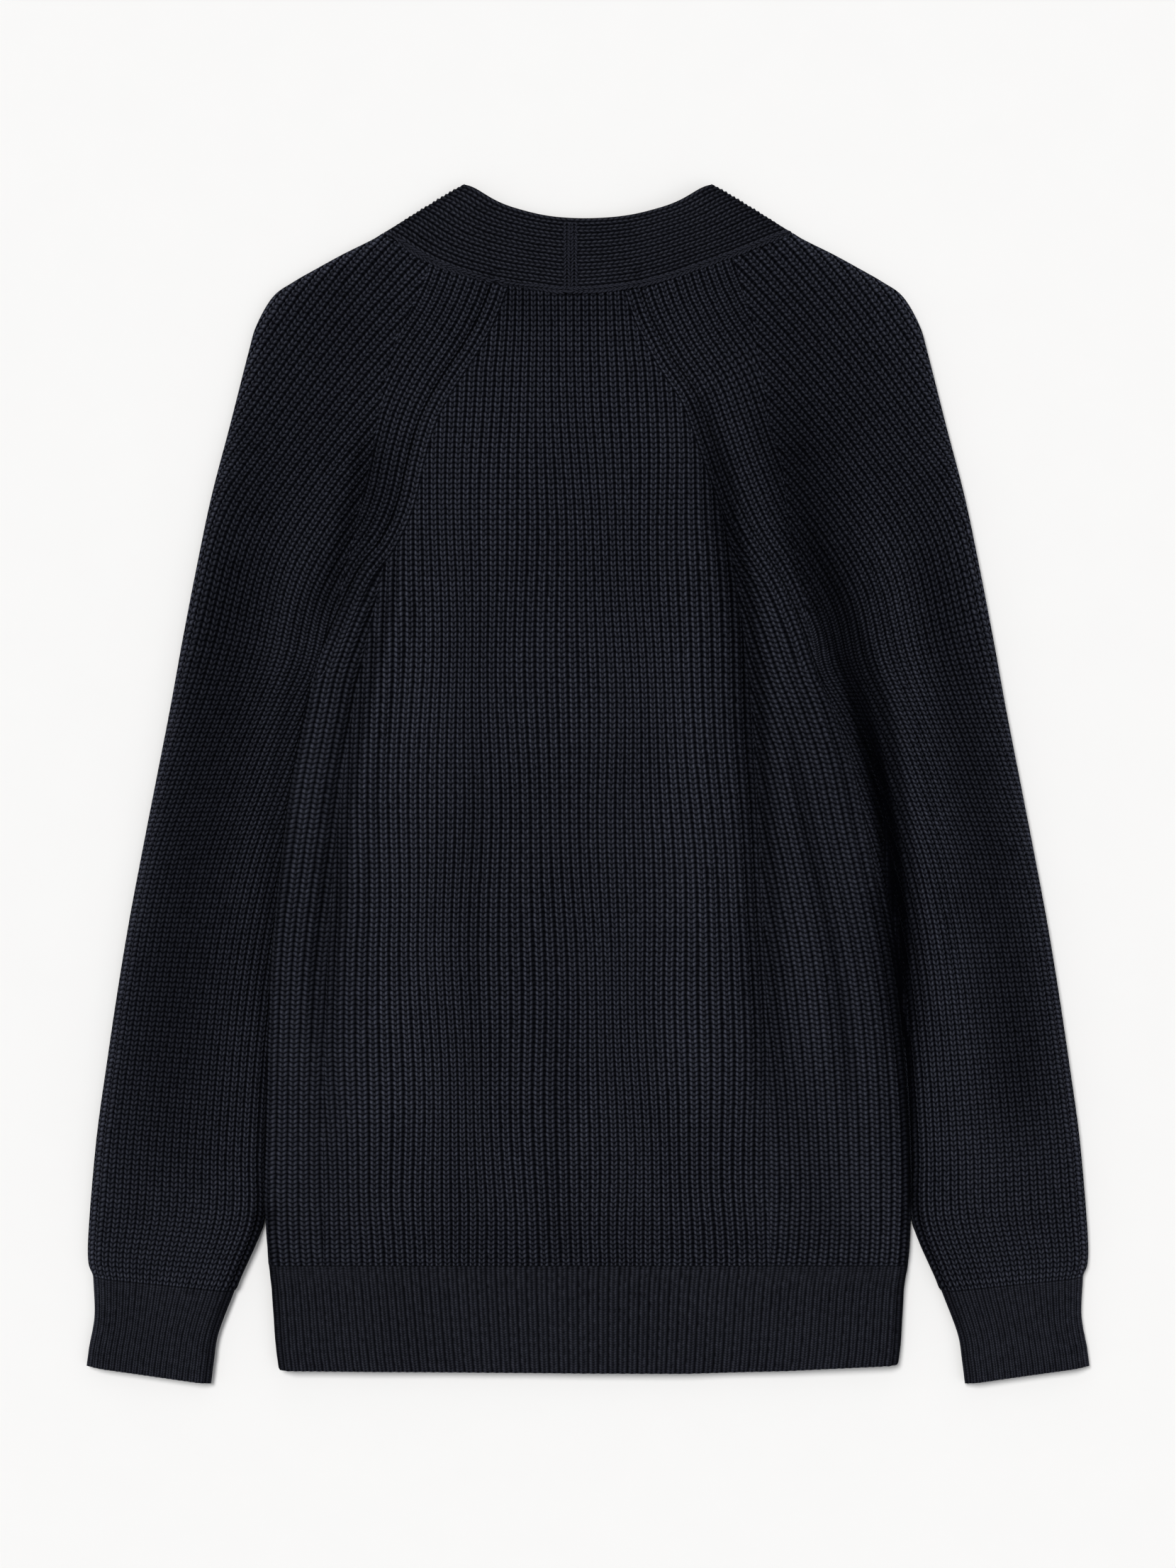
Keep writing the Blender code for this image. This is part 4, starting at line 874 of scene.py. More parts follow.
def make_back(material):
    left, right = side_ring("left"), side_ring("right")
    bottom = even(np.array([left[0], right[0]]))[1:-1]
    ring = np.vstack([bottom, right, neck_between(right[-1, 0], left[-1, 0]), left[::-1]])
    borders = {side: back_border_line(side) for side in SIGN}
    folds = {side: smooth_path(FOLD_AT_SIDE[side]) for side in SIGN}

    def beyond(side, line, low, high):
        """What lies between two heights on the outer side of a line."""
        line_x = by_y(line)
        return lambda x, y: (y > low) & (y < high) & (SIGN[side] * (x - line_x(y)) > 0)

    in_border = {side: beyond(side, borders[side], borders[side][0, 1], np.inf) for side in SIGN}
    either = lambda x, y: in_border["left"](x, y) | in_border["right"](x, y)
    past_fold = {side: beyond(side, folds[side], -np.inf, folds[side][0, 1]) for side in SIGN}
    left_side, right_side = (lambda x, y, side=side: past_fold[side](x, y) & ~either(x, y) for side in SIGN)
    ys = [HEM_TOP_Y]
    while ys[-1] < 0.314:
        ys.append(ys[-1] + from_table(COURSE_HEIGHT, ys[-1]) / 2)
    ys = np.array(ys)
    wales = np.arange(BACK_WALES * 4 + 1) / 4
    grid = lambda x_of, some: np.stack([np.stack([x_of(w, ys), ys], -1) for w in some])
    few = 16 * 4
    fields = [
        Field(grid(middle_wale_x, wales), 0, lambda x, y: ~(either(x, y) | left_side(x, y) | right_side(x, y))),
        Field(grid(lambda w, y: side_wale_x("left", w, y), wales[: few // 2]), 0, left_side),
        Field(grid(lambda w, y: side_wale_x("right", w, y), wales[-few:]), BACK_WALES - (few - 1) / 4, right_side),
        border_field("left", 1, 4, BODY_COURSE, in_border["left"]),
        border_field("right", -1, 4, BODY_COURSE, in_border["right"]),
    ]
    lines = [even(path, 0.0011) for path in (*borders.values(), *folds.values())]
    return make_panel("back_knit", ring, fields, lines, FLAT_WALL + GAP, material)


def make_back_hem(material):
    last, top = HEM_WALES * 4, HEM_TOP_Y - SEAM

    def xy(c, y):
        x = hem_wale_x(c / 4, y)
        from_side = np.minimum(x - seam_x["left"](y), seam_x["right"](y) - x)
        short = np.clip(1 - from_side / CORNER, 0, 1)
        cut = CORNER * (1 - np.sqrt(1 - short**2)) + from_table(HEM_EDGE, x)
        return x, y + cut * (top - y) / (top - HEM_Y)

    rows = np.arange(HEM_Y, top, RIB_COURSE / 2)
    if top - rows[-1] < 0.35 * RIB_COURSE / 2:
        rows = rows[:-1]
    rows = np.append(rows, top)
    courses = (rows - HEM_Y) / RIB_COURSE
    few = np.linspace(HEM_Y, top, int((top - HEM_Y) / 0.016) + 1)
    outer, inner = [], []
    for c in range(last + 1):
        lag = np.where((rows > HEM_Y) & (rows < top), LEG_SLANT[c % 4] * RIB_COURSE, 0)
        x, y = xy(c, np.clip(rows + lag, HEM_Y, top))
        points = ground.outer(x, y, knit_rise(c / 4, courses, *HEM_RISE))
        outer.append((points, uv_column(c / 4, courses), rows))
        if c % 8 == 0:
            edge = np.full(len(few), c in (0, last))
            edge[[0, -1]] = True
            inner.append((ground.inner(*xy(c, few), FLAT_WALL + GAP, edge), uv_column(c / 4, few * 300), few))
    shell = Shell()
    shell.sheet(outer, inner)
    return shell.piece("back_hem_rib", material)


# ---- the sleeves ----

SLEEVE_LEAVES_Y = -0.262  # below this a sleeve no longer lies along the body's side


def stations(side):
    """The points of a sleeve's inner side and outline at its stations up to the underarm."""
    outline_x, inside_x = by_y(OUTLINE[side][: 6 * (len(SLEEVE_OUTLINE) - 7)]), by_y(INSIDE[side])
    for y_in, y_out in SLEEVE_STATIONS:
        x_in = (inside_x if y_in < SLEEVE_LEAVES_Y else seam_x[side])(y_in)
        yield (x_in, y_in), (outline_x(y_out), y_out)


def sleeve_field(side, holds):
    """The wales that run up a sleeve and turn toward the neck over the shoulder."""
    near, far = [], []
    for a, b in stations("right"):
        hidden = from_table(HIDDEN_WALES, a[1])
        a, b = np.array(a), np.array(b)
        near.append(a + (b - a) * hidden / SLEEVE_WALES)
        far.append(a + (b - a) * (FAR_WALE + hidden) / SLEEVE_WALES)
    near += [a for a, _ in TURNED_ROWS]
    far += [b for _, b in TURNED_ROWS]
    near, far = smooth_path(near, 10), smooth_path(far, 10)
    run = lengths(near + (far - near) * 0.45)
    at = np.arange(0, run[-1], SLEEVE_COURSE / 2)
    near, far = at_lengths(near, run, at), at_lengths(far, run, at)
    first = -6
    share = np.arange((FAR_WALE - first) * 4 + 1) / 4 + first
    plain = near[None] + (far - near)[None] * (share / FAR_WALE)[:, None, None]
    return Field(plain * [SIGN[side], 1], first, holds)


def sleeve_ring_xy(side):
    sign = SIGN[side]
    outline, inside = OUTLINE["right"], INSIDE["right"]
    start_y = CUFF_OUTLINE[0][1] + SEAM
    outline = outline[(outline[:, 1] > start_y + 0.0006) & (np.arange(len(outline)) > 18)]
    outline = np.vstack([(CUFF_OUTLINE[0][0], start_y), outline])
    inside = inside[inside[:, 1] > CUFF_INSIDE[0][1] + 0.0008][::-1]
    inside = np.vstack([(CUFF_INSIDE[0][0], CUFF_INSIDE[0][1] + 0.0004), inside])
    outline = outline + sideways(outline) * 0.0006 * smoothstep(lengths(outline), 0.002, 0.02)[:, None]
    outline, inside = outline * [sign, 1], inside * [sign, 1]
    body = side_ring(side)
    body = body[body[:, 1] > inside[-1, 1] + 0.0006]
    neck = neck_between(outline[-1, 0], body[-1, 0])
    ring = np.vstack([even(path)[:-1] for path in (
        np.array([inside[0], outline[0]]), outline, np.vstack([outline[-1], neck, body[-1]]),
        np.vstack([body[::-1], inside[::-1]]),
    )])
    return ring if sign > 0 else ring[::-1]


def make_sleeve(side, material):
    sign = SIGN[side]
    border = smooth_path(BORDER_LINE[side])
    line_x = by_y(border)
    in_border = lambda x, y: (y > border[0, 1]) & (sign * (x - line_x(y)) < 0)
    fields = [
        sleeve_field(side, lambda x, y: ~in_border(x, y)),
        border_field(side, sign, 14, SLEEVE_COURSE, in_border),
    ]
    return make_panel(
        f"sleeve_{side}_knit", sleeve_ring_xy(side), fields, [even(border, 0.0011)], HALVES_HEIGHT + GAP, material
    )


def sleeve_sides(side):
    """The two sides between which a sleeve's lower half lies."""
    sign = SIGN[side]
    inner, outer = [], []
    for (x_in, y_in), out in stations(side):
        inner.append((x_in + sign * (GAP - float(aside(y_in))), y_in))
        outer.append(out)
    for y_in, inset, x_out, y_out in RAGLAN_STATIONS:
        inner.append((seam_x[side](y_in) - sign * inset, y_in))
        outer.append((sign * x_out, y_out))
    return smooth_path(inner, 10), smooth_path(outer, 10)


def sleeve_line(sides, share, limit):
    """A line up a sleeve's lower half, up to where limit(x, y) first holds."""
    inner, outer = sides
    line = inner + (outer - inner) * share
    fine = along_path(line, np.linspace(0, 1, 3000))
    stop = limit(fine[:, 0], fine[:, 1])
    end = int(stop.argmax()) if stop.any() else len(fine) - 1
    return fine[: max(end, 2) + 1]


def aside(y):
    """How far inward the lower layer's side seam lies from the upper one, so that no slit goes through both."""
    return LOWER_SEAM_ASIDE * smoothstep(y, -0.275, -0.255) * smoothstep(y, UNDERARM_Y, UNDERARM_Y - 0.02)


def front_edge(side, y):
    sign = SIGN[side]
    fold_x, fold_y = NECK_FOLD[0]
    low_x = CENTRE_X + sign * BAND_WIDTH / 2
    return np.interp(y, (CROSSING_Y, fold_y), (low_x, sign * fold_x))


def front_raglan_x(side, y):
    return np.interp(y, (UNDERARM_Y, RAGLAN_TOP_Y), (seam_x[side](UNDERARM_Y), front_edge(side, RAGLAN_TOP_Y)))


def lower_limit(side):
    sign = SIGN[side]

    def limit(x, y):
        raglan = (y < RAGLAN_TOP_Y) & (sign * (x - front_raglan_x(side, y)) < UNDER_SEAM)
        band = (y >= RAGLAN_TOP_Y) & (sign * (x - front_edge(side, y)) < UNDER_SEAM)
        return (y > UNDERARM_Y) & (raglan | band)

    return limit


# The lower half of a sleeve, from the outline back to the inner side: the edge that the place is counted from
# (or a share of the way across), its place and its height, outside and then inside the wall
TURNED_OUTSIDE = (
    ("out", 0.0002, 0.0031), ("out", 0.001, 0.0022), ("out", 0.0026, 0.0008), ("out", 0.005, 0.0),
    ("share", 0.75, 0.0), ("share", 0.5, 0.0), ("share", 0.25, 0.0),
    ("in", 0.005, 0.0), ("in", 0.0026, 0.0008), ("in", 0.001, 0.0022), ("in", 0.0002, 0.0031),
)
TURNED_INSIDE = (
    ("out", 0.0034, 0.0031), ("out", 0.0064, FLAT_WALL), ("share", 0.7, FLAT_WALL),
    ("share", 0.3, FLAT_WALL), ("in", 0.0064, FLAT_WALL), ("in", 0.0034, 0.0031),
)


def lower_columns(line_of, width, table):
    made = []
    keys = np.linspace(0, 1, 46)
    for kind, at, z in table:
        share = {"share": at, "out": 1 - at / width, "in": at / width}[kind]
        line = line_of(share)
        uv = uv_column(30 + 40 * share, keys * lengths(line)[-1] / SLEEVE_COURSE)
        made.append((np.column_stack([along_path(line, keys), np.full(len(keys), z)]), uv, keys))
    return made


def make_sleeve_under(side, material):
    sides, limit = sleeve_sides(side), lower_limit(side)
    line_of = lambda share: sleeve_line(sides, share, limit)
    shell = Shell()
    shell.sheet(lower_columns(line_of, 0.095, TURNED_OUTSIDE), lower_columns(line_of, 0.095, TURNED_INSIDE))
    return shell.piece(f"sleeve_under_{side}_knit", material)


CUFF_DEPTH, CUFF_WIDTH = 0.0575, 0.08
CUFF_RISE, HEM_RISE = (0.0009, 0.0003), (0.0012, 0.0003)  # of a rib, and of a stitch on it


def make_cuff(side, material):
    inner_side, outline = (
        smooth_path([(SIGN[side] * x, y) for x, y in line[::-1]], 12) for line in (CUFF_INSIDE, CUFF_OUTLINE)
    )
    last = SLEEVE_WALES * 4
    line_of = lambda share: inner_side + (outline - inner_side) * share
    count = int(round(CUFF_DEPTH / RIB_COURSE)) * 2
    keys, few = np.linspace(0, 1, count + 1), np.linspace(0, 1, 6)
    courses = keys * count / 2
    outer, inner = [], []
    for c in range(last + 1):
        line = line_of(c / last)
        run = lengths(line)
        lag = np.where((keys > 0) & (keys < 1), LEG_SLANT[c % 4] * RIB_COURSE, 0)
        xy = at_lengths(line, run, np.clip(keys * run[-1] + lag, 0, run[-1]))
        points = ground.outer(*xy.T, knit_rise(c / 4, courses, *CUFF_RISE))
        outer.append((points, uv_column(c / 4, courses), keys))
        if c % 4 == 0:
            xy = along_path(line, few)
            points = ground.inner(*xy.T, FLAT_WALL + GAP, few == 1)
            if c in (0, last):
                away = along_path(line_of(0.5), few) - xy
                away = away / np.hypot(*away.T)[:, None]
                points = np.column_stack([xy + away * 0.0024, np.full(6, EDGE_HEIGHT)])
            inner.append((points, uv_column(c / 4, few * 40), few))
    shell = Shell()
    outer += lower_columns(line_of, CUFF_WIDTH, TURNED_OUTSIDE)
    inner += lower_columns(line_of, CUFF_WIDTH, TURNED_INSIDE)
    shell.tube(outer, inner)
    return shell.piece(f"cuff_{side}_rib", material)


# ---- the fronts and the bands ----

OVERLAP = BAND_WALL + GAP


def band_lift(side, y):
    return np.zeros_like(y) if side == "left" else OVERLAP * (1 - smoothstep(y, 0.15, 0.215))


def front_lift(side, x, y):
    return band_lift(side, y) * smoothstep(CENTRE_X + 0.064 - x, 0.0, 0.038)


def make_front(name, side, ys, wales, course, material, edge_rise=0.0):
    """A panel of the lower layer, plain where it lies on the floor."""
    sign = SIGN[side]
    outer_x = np.where(ys < UNDERARM_Y, seam_x[side](ys), front_raglan_x(side, ys)) - sign * (UNDER_SEAM + aside(ys))
    inner_x = front_edge(side, ys) + sign * GAP
    layers = ([], [])
    for columns, wall in zip(layers, (FLAT_WALL, 0)):
        for share in np.linspace(0, 1, wales + 1):
            x = inner_x + (outer_x - inner_x) * share
            y = ys + edge_rise * share**2 * (ys[-1] - ys) / (ys[-1] - ys[0])
            points = np.stack([x, y, front_lift(side, x, ys) + wall], -1)
            columns.append((points, uv_column(share * wales, ys / course), ys))
    shell = Shell()
    shell.sheet(*layers)
    return shell.piece(name, material)


ROW_LAG = (0.0, 0.25, 0.5, 0.75)  # courses by which each leg of the band lags, so that the rows lie aslant


BAND_TURN = ((0.0002, 0.004), (0.001, 0.0022), (0.0026, 0.0008), (0.005, 0.0))  # how far under the fold, height
BAND_ROWS = 96  # points along the back of the neck
BAND_SHIFT = 0.0024  # how far the inner wall keeps from the fold


def make_band(side, material):
    """Half of the neckband, knitted lengthwise: from the centre back over the neck fold, then under it and
    down the front."""
    sign = SIGN[side]
    last = BAND_WALES * 4
    edge_x = np.linspace(CENTRE_X, sign * 0.075, BAND_ROWS)
    seam_xs = CENTRE_X + (sign * 0.124 - CENTRE_X) * np.linspace(0, 1, BAND_ROWS)
    fold_in = np.array([sign * NECK_FOLD[-1][0], NECK_FOLD[-1][1]])
    fold_out = np.array([sign * NECK_FOLD[0][0], NECK_FOLD[0][1] + 2 * GAP])
    ends_in = np.stack([edge_x, neck_edge_y(edge_x)], -1)
    ends_out = np.stack([seam_xs, neck_seam_y(seam_xs)], -1)
    ends_out[-1] = fold_out
    low_in, low_out = (np.array([CENTRE_X + way * sign * BAND_WIDTH / 2, CROSSING_Y]) for way in (-1, 1))
    along = (fold_out - fold_in) / np.hypot(*(fold_out - fold_in))
    inward = np.array([-along[1], along[0]])
    inward = -inward if inward[1] > 0 else inward
    under, turn_z = np.array(BAND_TURN).T
    shares = np.append(under / np.hypot(*(low_in - fold_in)), np.linspace(0.05, 1, 60))
    turned = slice(len(turn_z))
    down = np.linspace(CROSSING_Y, HEM_Y, 90)[1:]

    def front_points(at, z_add, shift):
        """Points down the front at a share of the band's width."""
        first = fold_in + (fold_out - fold_in) * at
        end = low_in + (low_out - low_in) * at
        xy = first + (end - first) * shares[:, None]
        xy = np.vstack([xy, np.column_stack([np.full(len(down), end[0]), down])])
        z = band_lift(side, xy[:, 1]) + z_add
        z[turned] += turn_z
        xy[turned] += inward * shift
        if at == 1 and shift:
            xy[turned] -= along * shift * 2
        return np.column_stack([xy, z])

    outer, inner = [], []
    for c in range(last + 1):
        at, wale = c / last, c / 4
        line = ends_in + (ends_out - ends_in) * at
        v = lengths(line) / BAND_COURSE + ROW_LAG[c % 4]
        top = ground.outer(*line.T, row_rise(wale, v) * (0 < c < last))
        front = front_points(at, 0.0, 0.0)
        v = np.append(v, v[-1] + lengths(front) / BAND_COURSE)
        outer.append((np.vstack([top, front]), uv_column(wale, v), np.arange(len(v))))
        if c % 4 == 0:
            few = line[::5]
            below = ground.inner(*few.T, GAP, True)
            below[-1] = [*(few[-1] + inward * BAND_SHIFT - (along * BAND_SHIFT * 2 if at == 1 else 0)), EDGE_HEIGHT]
            front = front_points(at, BAND_WALL, BAND_SHIFT)
            front[turned, 2] = np.minimum(front[turned, 2], 0.005)
            keys = np.append(np.arange(0.0, BAND_ROWS, 5), BAND_ROWS + np.arange(len(front)))
            inner.append((np.vstack([below, front]), uv_column(wale, keys), keys))
    shell = Shell()
    shell.sheet(outer, inner)
    return shell.piece(f"band_{side}_rib", material)


# ---- linked seams ----

def link_mesh(length):
    """One loop of a linked seam: two drops of yarn that lean together, as a closed mesh along +X."""
    made = bpy.data.meshes.new("seam_link")
    work = bmesh.new()
    around, along = 7, 6
    for lean in (-1, 1):
        rings = []
        for n in range(along + 1):
            t = n / along
            thick = 0.00075 * math.sin(math.pi * (0.08 + 0.84 * t)) ** 0.6
            x = (t - 0.5) * length * 1.35
            y = lean * (0.0004 + 0.00135 * (1 - t) ** 0.8)
            z = 0.0005 * math.sin(math.pi * t)
            rings.append([
                work.verts.new((x, y + thick * math.cos(a), z + thick * math.sin(a)))
                for a in (2 * math.pi * k / around for k in range(around))
            ])
        for a, b in zip(rings, rings[1:]):
            for k in range(around):
                work.faces.new((a[k], b[k], b[(k + 1) % around], a[(k + 1) % around]))
        work.faces.new(rings[0])
        work.faces.new(rings[-1][::-1])
    bmesh.ops.recalc_face_normals(work, faces=work.faces)
    work.to_mesh(made)
    work.free()
    made.shade_smooth()
    return made


class Value:
    """A number in a node tree. Sums, products and powers of it become Math nodes."""

    def __init__(self, tree, socket):
        self.tree, self.socket = tree, socket

    def __add__(self, other):
        return maths("ADD", self, other)

    def __sub__(self, other):
        return maths("SUBTRACT", self, other)

    def __rsub__(self, other):
        return maths("SUBTRACT", other, self)

    def __mul__(self, other):
        return maths("MULTIPLY", self, other)

    def __truediv__(self, other):
        return maths("DIVIDE", self, other)

    def __pow__(self, other):
        return maths("POWER", self, other)

    def __rpow__(self, other):
        return maths("POWER", other, self)


def feed(tree, node, inputs):
    """Sets each input of a node to a plain value, or links it."""
    for name, value in inputs.items():
        if isinstance(value, Value):
            value = value.socket
        if isinstance(value, bpy.types.NodeSocket):
            tree.links.new(value, node.inputs[name])
        else:
            node.inputs[name].default_value = value


def add_node(tree, kind, inputs, **settings):
    made = tree.nodes.new(kind)
    for name, value in settings.items():
        setattr(made, name, value)
    feed(tree, made, inputs)
    return made


def maths(operation, *values, clamp=False):
    tree = next(value.tree for value in values if isinstance(value, Value))
    made = add_node(tree, "ShaderNodeMath", dict(enumerate(values)), operation=operation, use_clamp=clamp)
    return Value(tree, made.outputs[0])


def new_group(name, kind, inputs, outputs):
    """A node group with its sockets, and what reads its inputs and takes its outputs."""
    tree = bpy.data.node_groups.new(name, kind)
    for in_out, sockets in (("INPUT", inputs), ("OUTPUT", outputs)):
        for socket, form in sockets.items():
            tree.interface.new_socket(socket, in_out=in_out, socket_type="NodeSocket" + form)
    return tree, tree.nodes.new("NodeGroupInput").outputs, tree.nodes.new("NodeGroupOutput")


def link_tree(material):
    """Sets links along a curve, a little uneven, and turns each to the curve."""
    tree, given, result = new_group(
        "linked_seam", "GeometryNodeTree",
        {"Geometry": "Geometry", "Link": "Object", "Spacing": "Float", "Unevenness": "Float", "Seed": "Int"},
        {"Geometry": "Geometry"},
    )
    curve = add_node(tree, "GeometryNodeMeshToCurve", {"Mesh": given["Geometry"]})
    points = add_node(tree, "GeometryNodeCurveToPoints", {
        "Curve": curve.outputs["Curve"], "Length": given["Spacing"],
    }, mode="LENGTH")
    info = add_node(tree, "GeometryNodeObjectInfo", {"Object": given["Link"]})
    turn = add_node(tree, "FunctionNodeAlignEulerToVector", {"Vector": points.outputs["Tangent"]}, axis="X")
    spread = Value(tree, given["Unevenness"])
    size = add_node(
        tree, "FunctionNodeRandomValue", {2: 1.0 - spread, 3: spread + 1.0, "Seed": given["Seed"]}, data_type="FLOAT"
    )
    place = add_node(tree, "GeometryNodeInstanceOnPoints", {
        "Points": points.outputs["Points"], "Instance": info.outputs["Geometry"],
        "Rotation": turn.outputs["Rotation"], "Scale": size.outputs[1],
    })
    real = add_node(tree, "GeometryNodeRealizeInstances", {"Geometry": place.outputs["Instances"]})
    finish = add_node(
        tree, "GeometryNodeSetMaterial", {"Geometry": real.outputs["Geometry"], "Material": material}
    )
    feed(tree, result, {"Geometry": finish.outputs["Geometry"]})
    return tree


def linked_seam(name, path, tree, link, spacing, seed):
    mesh = bpy.data.meshes.new(name)
    mesh.from_pydata(path.tolist(), [(n, n + 1) for n in range(len(path) - 1)], [])
    line = placed(name + "_line", mesh)
    modifier = line.modifiers.new("links", "NODES")
    modifier.node_group = tree
    settings = {"Link": link, "Spacing": spacing, "Unevenness": 0.12, "Seed": seed}
    for item in tree.interface.items_tree:
        if item.in_out == "INPUT" and item.name in settings:
            modifier[item.identifier] = settings[item.name]
    line.update_tag()
    bpy.context.view_layer.update()
    made = bpy.data.meshes.new_from_object(line.evaluated_get(bpy.context.evaluated_depsgraph_get()))
    made.name = name
    bpy.data.objects.remove(line)
    return placed(name, made)


SEAM_LIFT = 0.0013  # height of the links' middle over the knit's ground


def neck_seam_path(side):
    """The seam under the neckband, from the centre back to the shoulder, just over the knit."""
    xs = np.linspace(CENTRE_X, SIGN[side] * 0.1215, 300)
    ys = neck_seam_y(xs) + 0.0012
    return np.column_stack([xs, ys, ground.read(ground.z, xs, ys) + SEAM_LIFT])


def centre_seam_path(side):
    xs = np.full(60, CENTRE_X + SIGN[side] * 0.0022)
    ys = np.linspace(float(neck_seam_y(CENTRE_X)) + 0.003, float(neck_edge_y(CENTRE_X)) - 0.004, 60)
    return np.column_stack([xs, ys, ground.read(ground.z, xs, ys) + SEAM_LIFT])


# ---- finishes ----

def noise(tree, place, scale, detail, roughness=0.5, distortion=0.0):
    made = add_node(tree, "ShaderNodeTexNoise", {
        "Vector": place, "Scale": scale, "Detail": detail, "Roughness": roughness, "Distortion": distortion,
    })
    return Value(tree, made.outputs["Fac"])


def bell(value, middle, width):
    """1 where value is at the middle, falling off over the width."""
    off = (value - middle) / width
    return math.e ** (off * off * -1.0)


def knit_group():
    """Stitches from the wale and course numbers: their height, their shade and the wool's flecks. A stitch has
    two legs, which join low in the middle of the wale, with a hole over the join. The shade is painted shade
    and painted light: dark in the holes and between the wales, light on the legs, times the painted shading."""
    numbers = ("Painted shading", "Hole", "Bar", "Bead", "Leg width", "Fleck")
    tree, given, result = new_group(
        "knit_stitches", "ShaderNodeTree",
        {"Wale and course": "Vector", "Place": "Vector", **dict.fromkeys(numbers, "Float")},
        dict.fromkeys(("Height", "Shade", "Fleck"), "Float"),
    )
    sky, hole, bar_height, beading, leg_width, flecking = (Value(tree, given[name]) for name in numbers)
    uneven = noise(tree, given["Place"], 320.0, 1.0) - 0.5
    slow = noise(tree, given["Place"], 16.0, 3.0, 0.55)
    fibre = noise(tree, given["Place"], 1900.0, 3.0, 0.65)
    split = add_node(tree, "ShaderNodeSeparateXYZ", {0: given["Wale and course"]})
    wale, course = (Value(tree, split.outputs[k]) + uneven * 0.16 for k in (0, 1))
    side = maths("ABSOLUTE", maths("FRACT", wale) - 0.5)
    leg = bell(side, 0.24, leg_width * (slow * 0.4 + 0.8))
    bead = maths("ABSOLUTE", maths("SINE", course * math.pi)) ** beading
    wave = lambda start: maths("COSINE", (course - start) * (2 * math.pi)) + 1.0
    join = bell(side, 0.0, 0.13) * (wave(0.4) * 0.5) * hole
    bar = bell(side, 0.5, 0.08) * (wave(0.5) * bar_height)
    stitch = maths("MAXIMUM", maths("MAXIMUM", leg * bead, join), bar)
    fleck = (fibre - 0.5) + (slow - 0.5) * 0.1 + uneven * 0.9
    # Shade is painted shade and painted light: dark holes and valleys, light legs, times the painted shading
    feed(tree, result, {
        "Height": stitch + fibre * 0.25, "Shade": stitch * sky,
        "Fleck": maths("ADD", fleck * flecking, 0.5, clamp=True),
    })
    return tree


CLOSER_LEGS = 0.45  # how much wider the legs are where the wales lie closed


def new_material(name):
    material = bpy.data.materials.new(name)
    material.use_nodes = True
    tree = material.node_tree
    return material, tree, tree.nodes["Principled BSDF"], tree.nodes.new("ShaderNodeTexCoord").outputs["Object"]


def mixed(tree, share, low, high, blend="MIX"):
    return add_node(tree, "ShaderNodeMix", {0: share, 6: low, 7: high}, data_type="RGBA", blend_type=blend).outputs[2]


def knit_material(name, group, deep, bright, bump, hole, bar, bead, leg):
    material, tree, shader, place = new_material(name)
    read = lambda name: Value(tree, add_node(tree, "ShaderNodeAttribute", {}, attribute_name=name).outputs["Fac"])
    stitches = add_node(tree, "ShaderNodeGroup", {
        "Wale and course": add_node(tree, "ShaderNodeUVMap", {}, uv_map="knit").outputs[0], "Place": place,
        "Painted shading": read("open"), "Hole": hole, "Bar": bar, "Bead": bead, "Fleck": 0.9,
        "Leg width": (read("closed") * CLOSER_LEGS + 1.0) * leg,
    }, node_tree=group).outputs
    # the knit's navy, painted darker in the holes and between the wales (painted shade) and lighter on the legs
    # (painted light)
    shade = mixed(tree, stitches["Shade"], (*deep, 1), (*bright, 1))
    spread = add_node(tree, "ShaderNodeMapRange", {"Value": stitches["Fleck"], "To Min": 0.35, "To Max": 1.65})
    dents = add_node(tree, "ShaderNodeBump", {"Strength": bump, "Distance": 0.001, "Height": stitches["Height"]})
    feed(tree, shader, {
        "Base Color": mixed(tree, 1.0, shade, spread.outputs[0], "MULTIPLY"), "Normal": dents.outputs[0],
        "Roughness": 0.92, "Specular IOR Level": 0.01, "Sheen Weight": 0.04, "Sheen Roughness": 0.3,
        "Sheen Tint": (0.42, 0.46, 0.62, 1),
    })
    return material


def mottled_material(name, low, high, rough, specular, grain, swing=None):
    """A material whose colour wanders between two, and whose roughness does too where swing says how far."""
    material, tree, shader, place = new_material(name)
    fac = noise(tree, place, *grain)
    feed(tree, shader, {
        "Base Color": mixed(tree, fac, (*low, 1), (*high, 1)), "Roughness": fac * swing + rough if swing else rough,
        "Specular IOR Level": specular,
    })
    return material


# ---- put together ----

stitches = knit_group()
# Each knit's deep colour is painted shade in the stitches' holes and between the wales, its bright colour the navy
# with painted light on the legs
knit = knit_material(
    "navy_knit_wool", stitches, deep=(0.0006, 0.0007, 0.0014), bright=(0.0535, 0.058, 0.08),
    bump=0.8, hole=0.34, bar=0.05, bead=1.0, leg=0.107,
)
rib = knit_material(
    "navy_rib_wool", stitches, deep=(0.0021, 0.0023, 0.0033), bright=(0.0262, 0.028, 0.0382),
    bump=0.6, hole=0.45, bar=0.0, bead=0.35, leg=0.145,
)
band_knit = knit_material(
    "navy_band_wool", stitches, deep=(0.0011, 0.0012, 0.002), bright=(0.0385, 0.0412, 0.056),
    bump=0.8, hole=0.16, bar=0.0, bead=0.7, leg=0.125,
)
# grain: scale, detail, roughness and distortion of the noise
yarn = mottled_material(
    "navy_linking_yarn", (0.006, 0.0066, 0.01), (0.029, 0.031, 0.044), rough=0.9, specular=0.06,
    grain=(1300.0, 3.0, 0.6),
)
buttons = mottled_material(
    "navy_button_gloss", (0.006, 0.007, 0.01), (0.016, 0.017, 0.024), rough=0.25, specular=0.5,
    grain=(260.0, 4.0, 0.6, 1.2), swing=0.2,
)
pale = mottled_material("pale_floor", (0.905,) * 3, (0.92,) * 3, rough=0.9, specular=0.1, grain=(30.0, 3.0))


def declare(piece, nodes, area):
    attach(piece, "root")
    if nodes:
        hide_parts(*nodes)


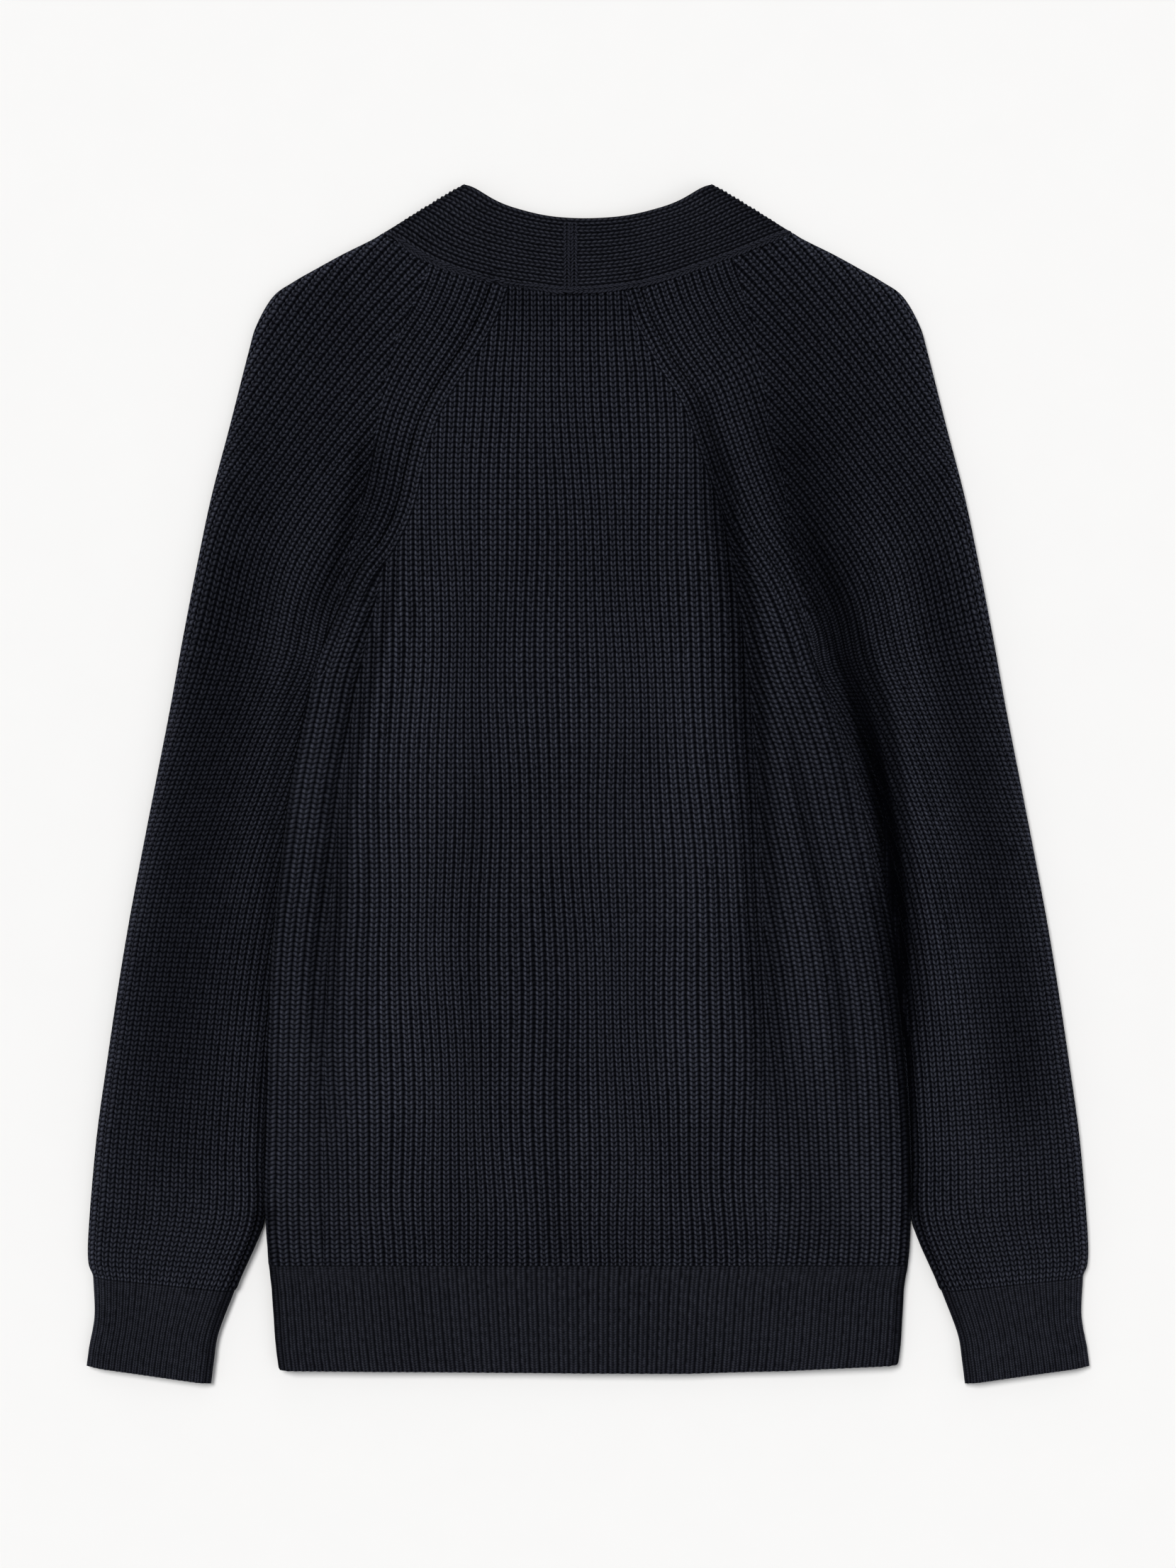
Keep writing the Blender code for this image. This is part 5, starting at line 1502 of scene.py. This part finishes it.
side_ys = np.linspace(HEM_TOP_Y, 0.256, 120)
hem_ys = np.linspace(HEM_Y, HEM_TOP_Y - GAP, 16)
FRONT_AREA = {"left": 0.082, "right": 0.09}
FRONT_HEM_RISE = {"left": 0.0014, "right": 0.0048}  # of the hem's edge at the side seam
for side in ("left", "right"):
    panel = make_front(f"front_{side}_knit", side, side_ys, 28, BODY_COURSE, knit)
    declare(panel, [f"front_{side}"], FRONT_AREA[side])
    hem = make_front(f"front_{side}_hem_rib", side, hem_ys, 28, RIB_COURSE, rib, FRONT_HEM_RISE[side])
    declare(hem, [f"front_hem_{side}"], None)

back = make_back(knit)
declare(back, ["back"], 0.205)
hem = make_back_hem(rib)
declare(hem, ["back_hem"], None)
LINK, FINE_LINK = 0.003, 0.0021  # length of one link
link = bpy.data.objects.new("seam_link", link_mesh(LINK))
fine_link = bpy.data.objects.new("fine_link", link_mesh(FINE_LINK))
links = link_tree(yarn)
for number, side in enumerate(("left", "right")):
    under = make_sleeve_under(side, knit)
    declare(under, [f"sleeve_under_{side}"], 0.055)
    sleeve = make_sleeve(side, knit)
    declare(sleeve, [f"sleeve_{side}"], 0.07)
    cuff = make_cuff(side, rib)
    declare(cuff, [f"cuff_{side}"], None)
    band = make_band(side, band_knit)
    for part, path, tool, spacing, seed in (
        ("neck_seam", neck_seam_path(side), link, LINK, number),
        ("centre_back", centre_seam_path(side), fine_link, FINE_LINK, 7 + number),
    ):
        seam = linked_seam(f"{part}_{side}_links", path, links, tool, spacing, seed)
        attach(seam, "root")
        seam.name
    declare(band, [f"band_{side}"], None)
for tool in (link, fine_link):
    bpy.data.objects.remove(tool)
for number in range(1, 6):
    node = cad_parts[f"button_{number}"]
    node.data.materials.clear()
    node.data.materials.append(buttons)

floor_mesh = bpy.data.meshes.new("floor")
corners = ((-6, -6), (6, -6), (6, 6), (-6, 6))
floor_mesh.from_pydata([(x, y, -0.0002) for x, y in corners], [], [(0, 1, 2, 3)])
floor_mesh.materials.append(pale)
floor = placed("floor", floor_mesh)


def soft_light(name, place, width, strength, colour):
    """A broad light far off, so that it falls evenly over the whole floor."""
    data = bpy.data.lights.new(name, "SUN")
    data.angle = width
    data.energy = strength
    data.color = colour
    lamp = placed(name, data)
    lamp.location = place
    lamp.rotation_euler = Vector(place).to_track_quat("Z", "Y").to_euler()


soft_light("key", (-0.75, 0.95, 3.0), math.radians(22), 2.35, (1.0, 0.99, 0.975))
soft_light("fill", (1.6, -0.8, 3.0), math.radians(50), 0.35, (0.95, 0.97, 1.0))

world = bpy.data.worlds.new("studio")
bpy.context.scene.world = world
world.use_nodes = True
feed(world.node_tree, world.node_tree.nodes["Background"], {"Color": (1, 1, 1, 1), "Strength": 0.26})

camera_data = bpy.data.cameras.new("overhead")
LENS, SENSOR = 85, 36
VIEW = 0.951  # length of the surface that the picture shows
camera_data.lens = LENS
camera_data.sensor_width = SENSOR
camera_data.sensor_fit = "AUTO"
camera = placed("overhead", camera_data)
camera.location = (0, 0, 0.005 + LENS * VIEW / SENSOR)
bpy.context.scene.camera = camera
bpy.context.scene.view_settings.view_transform = "Standard"
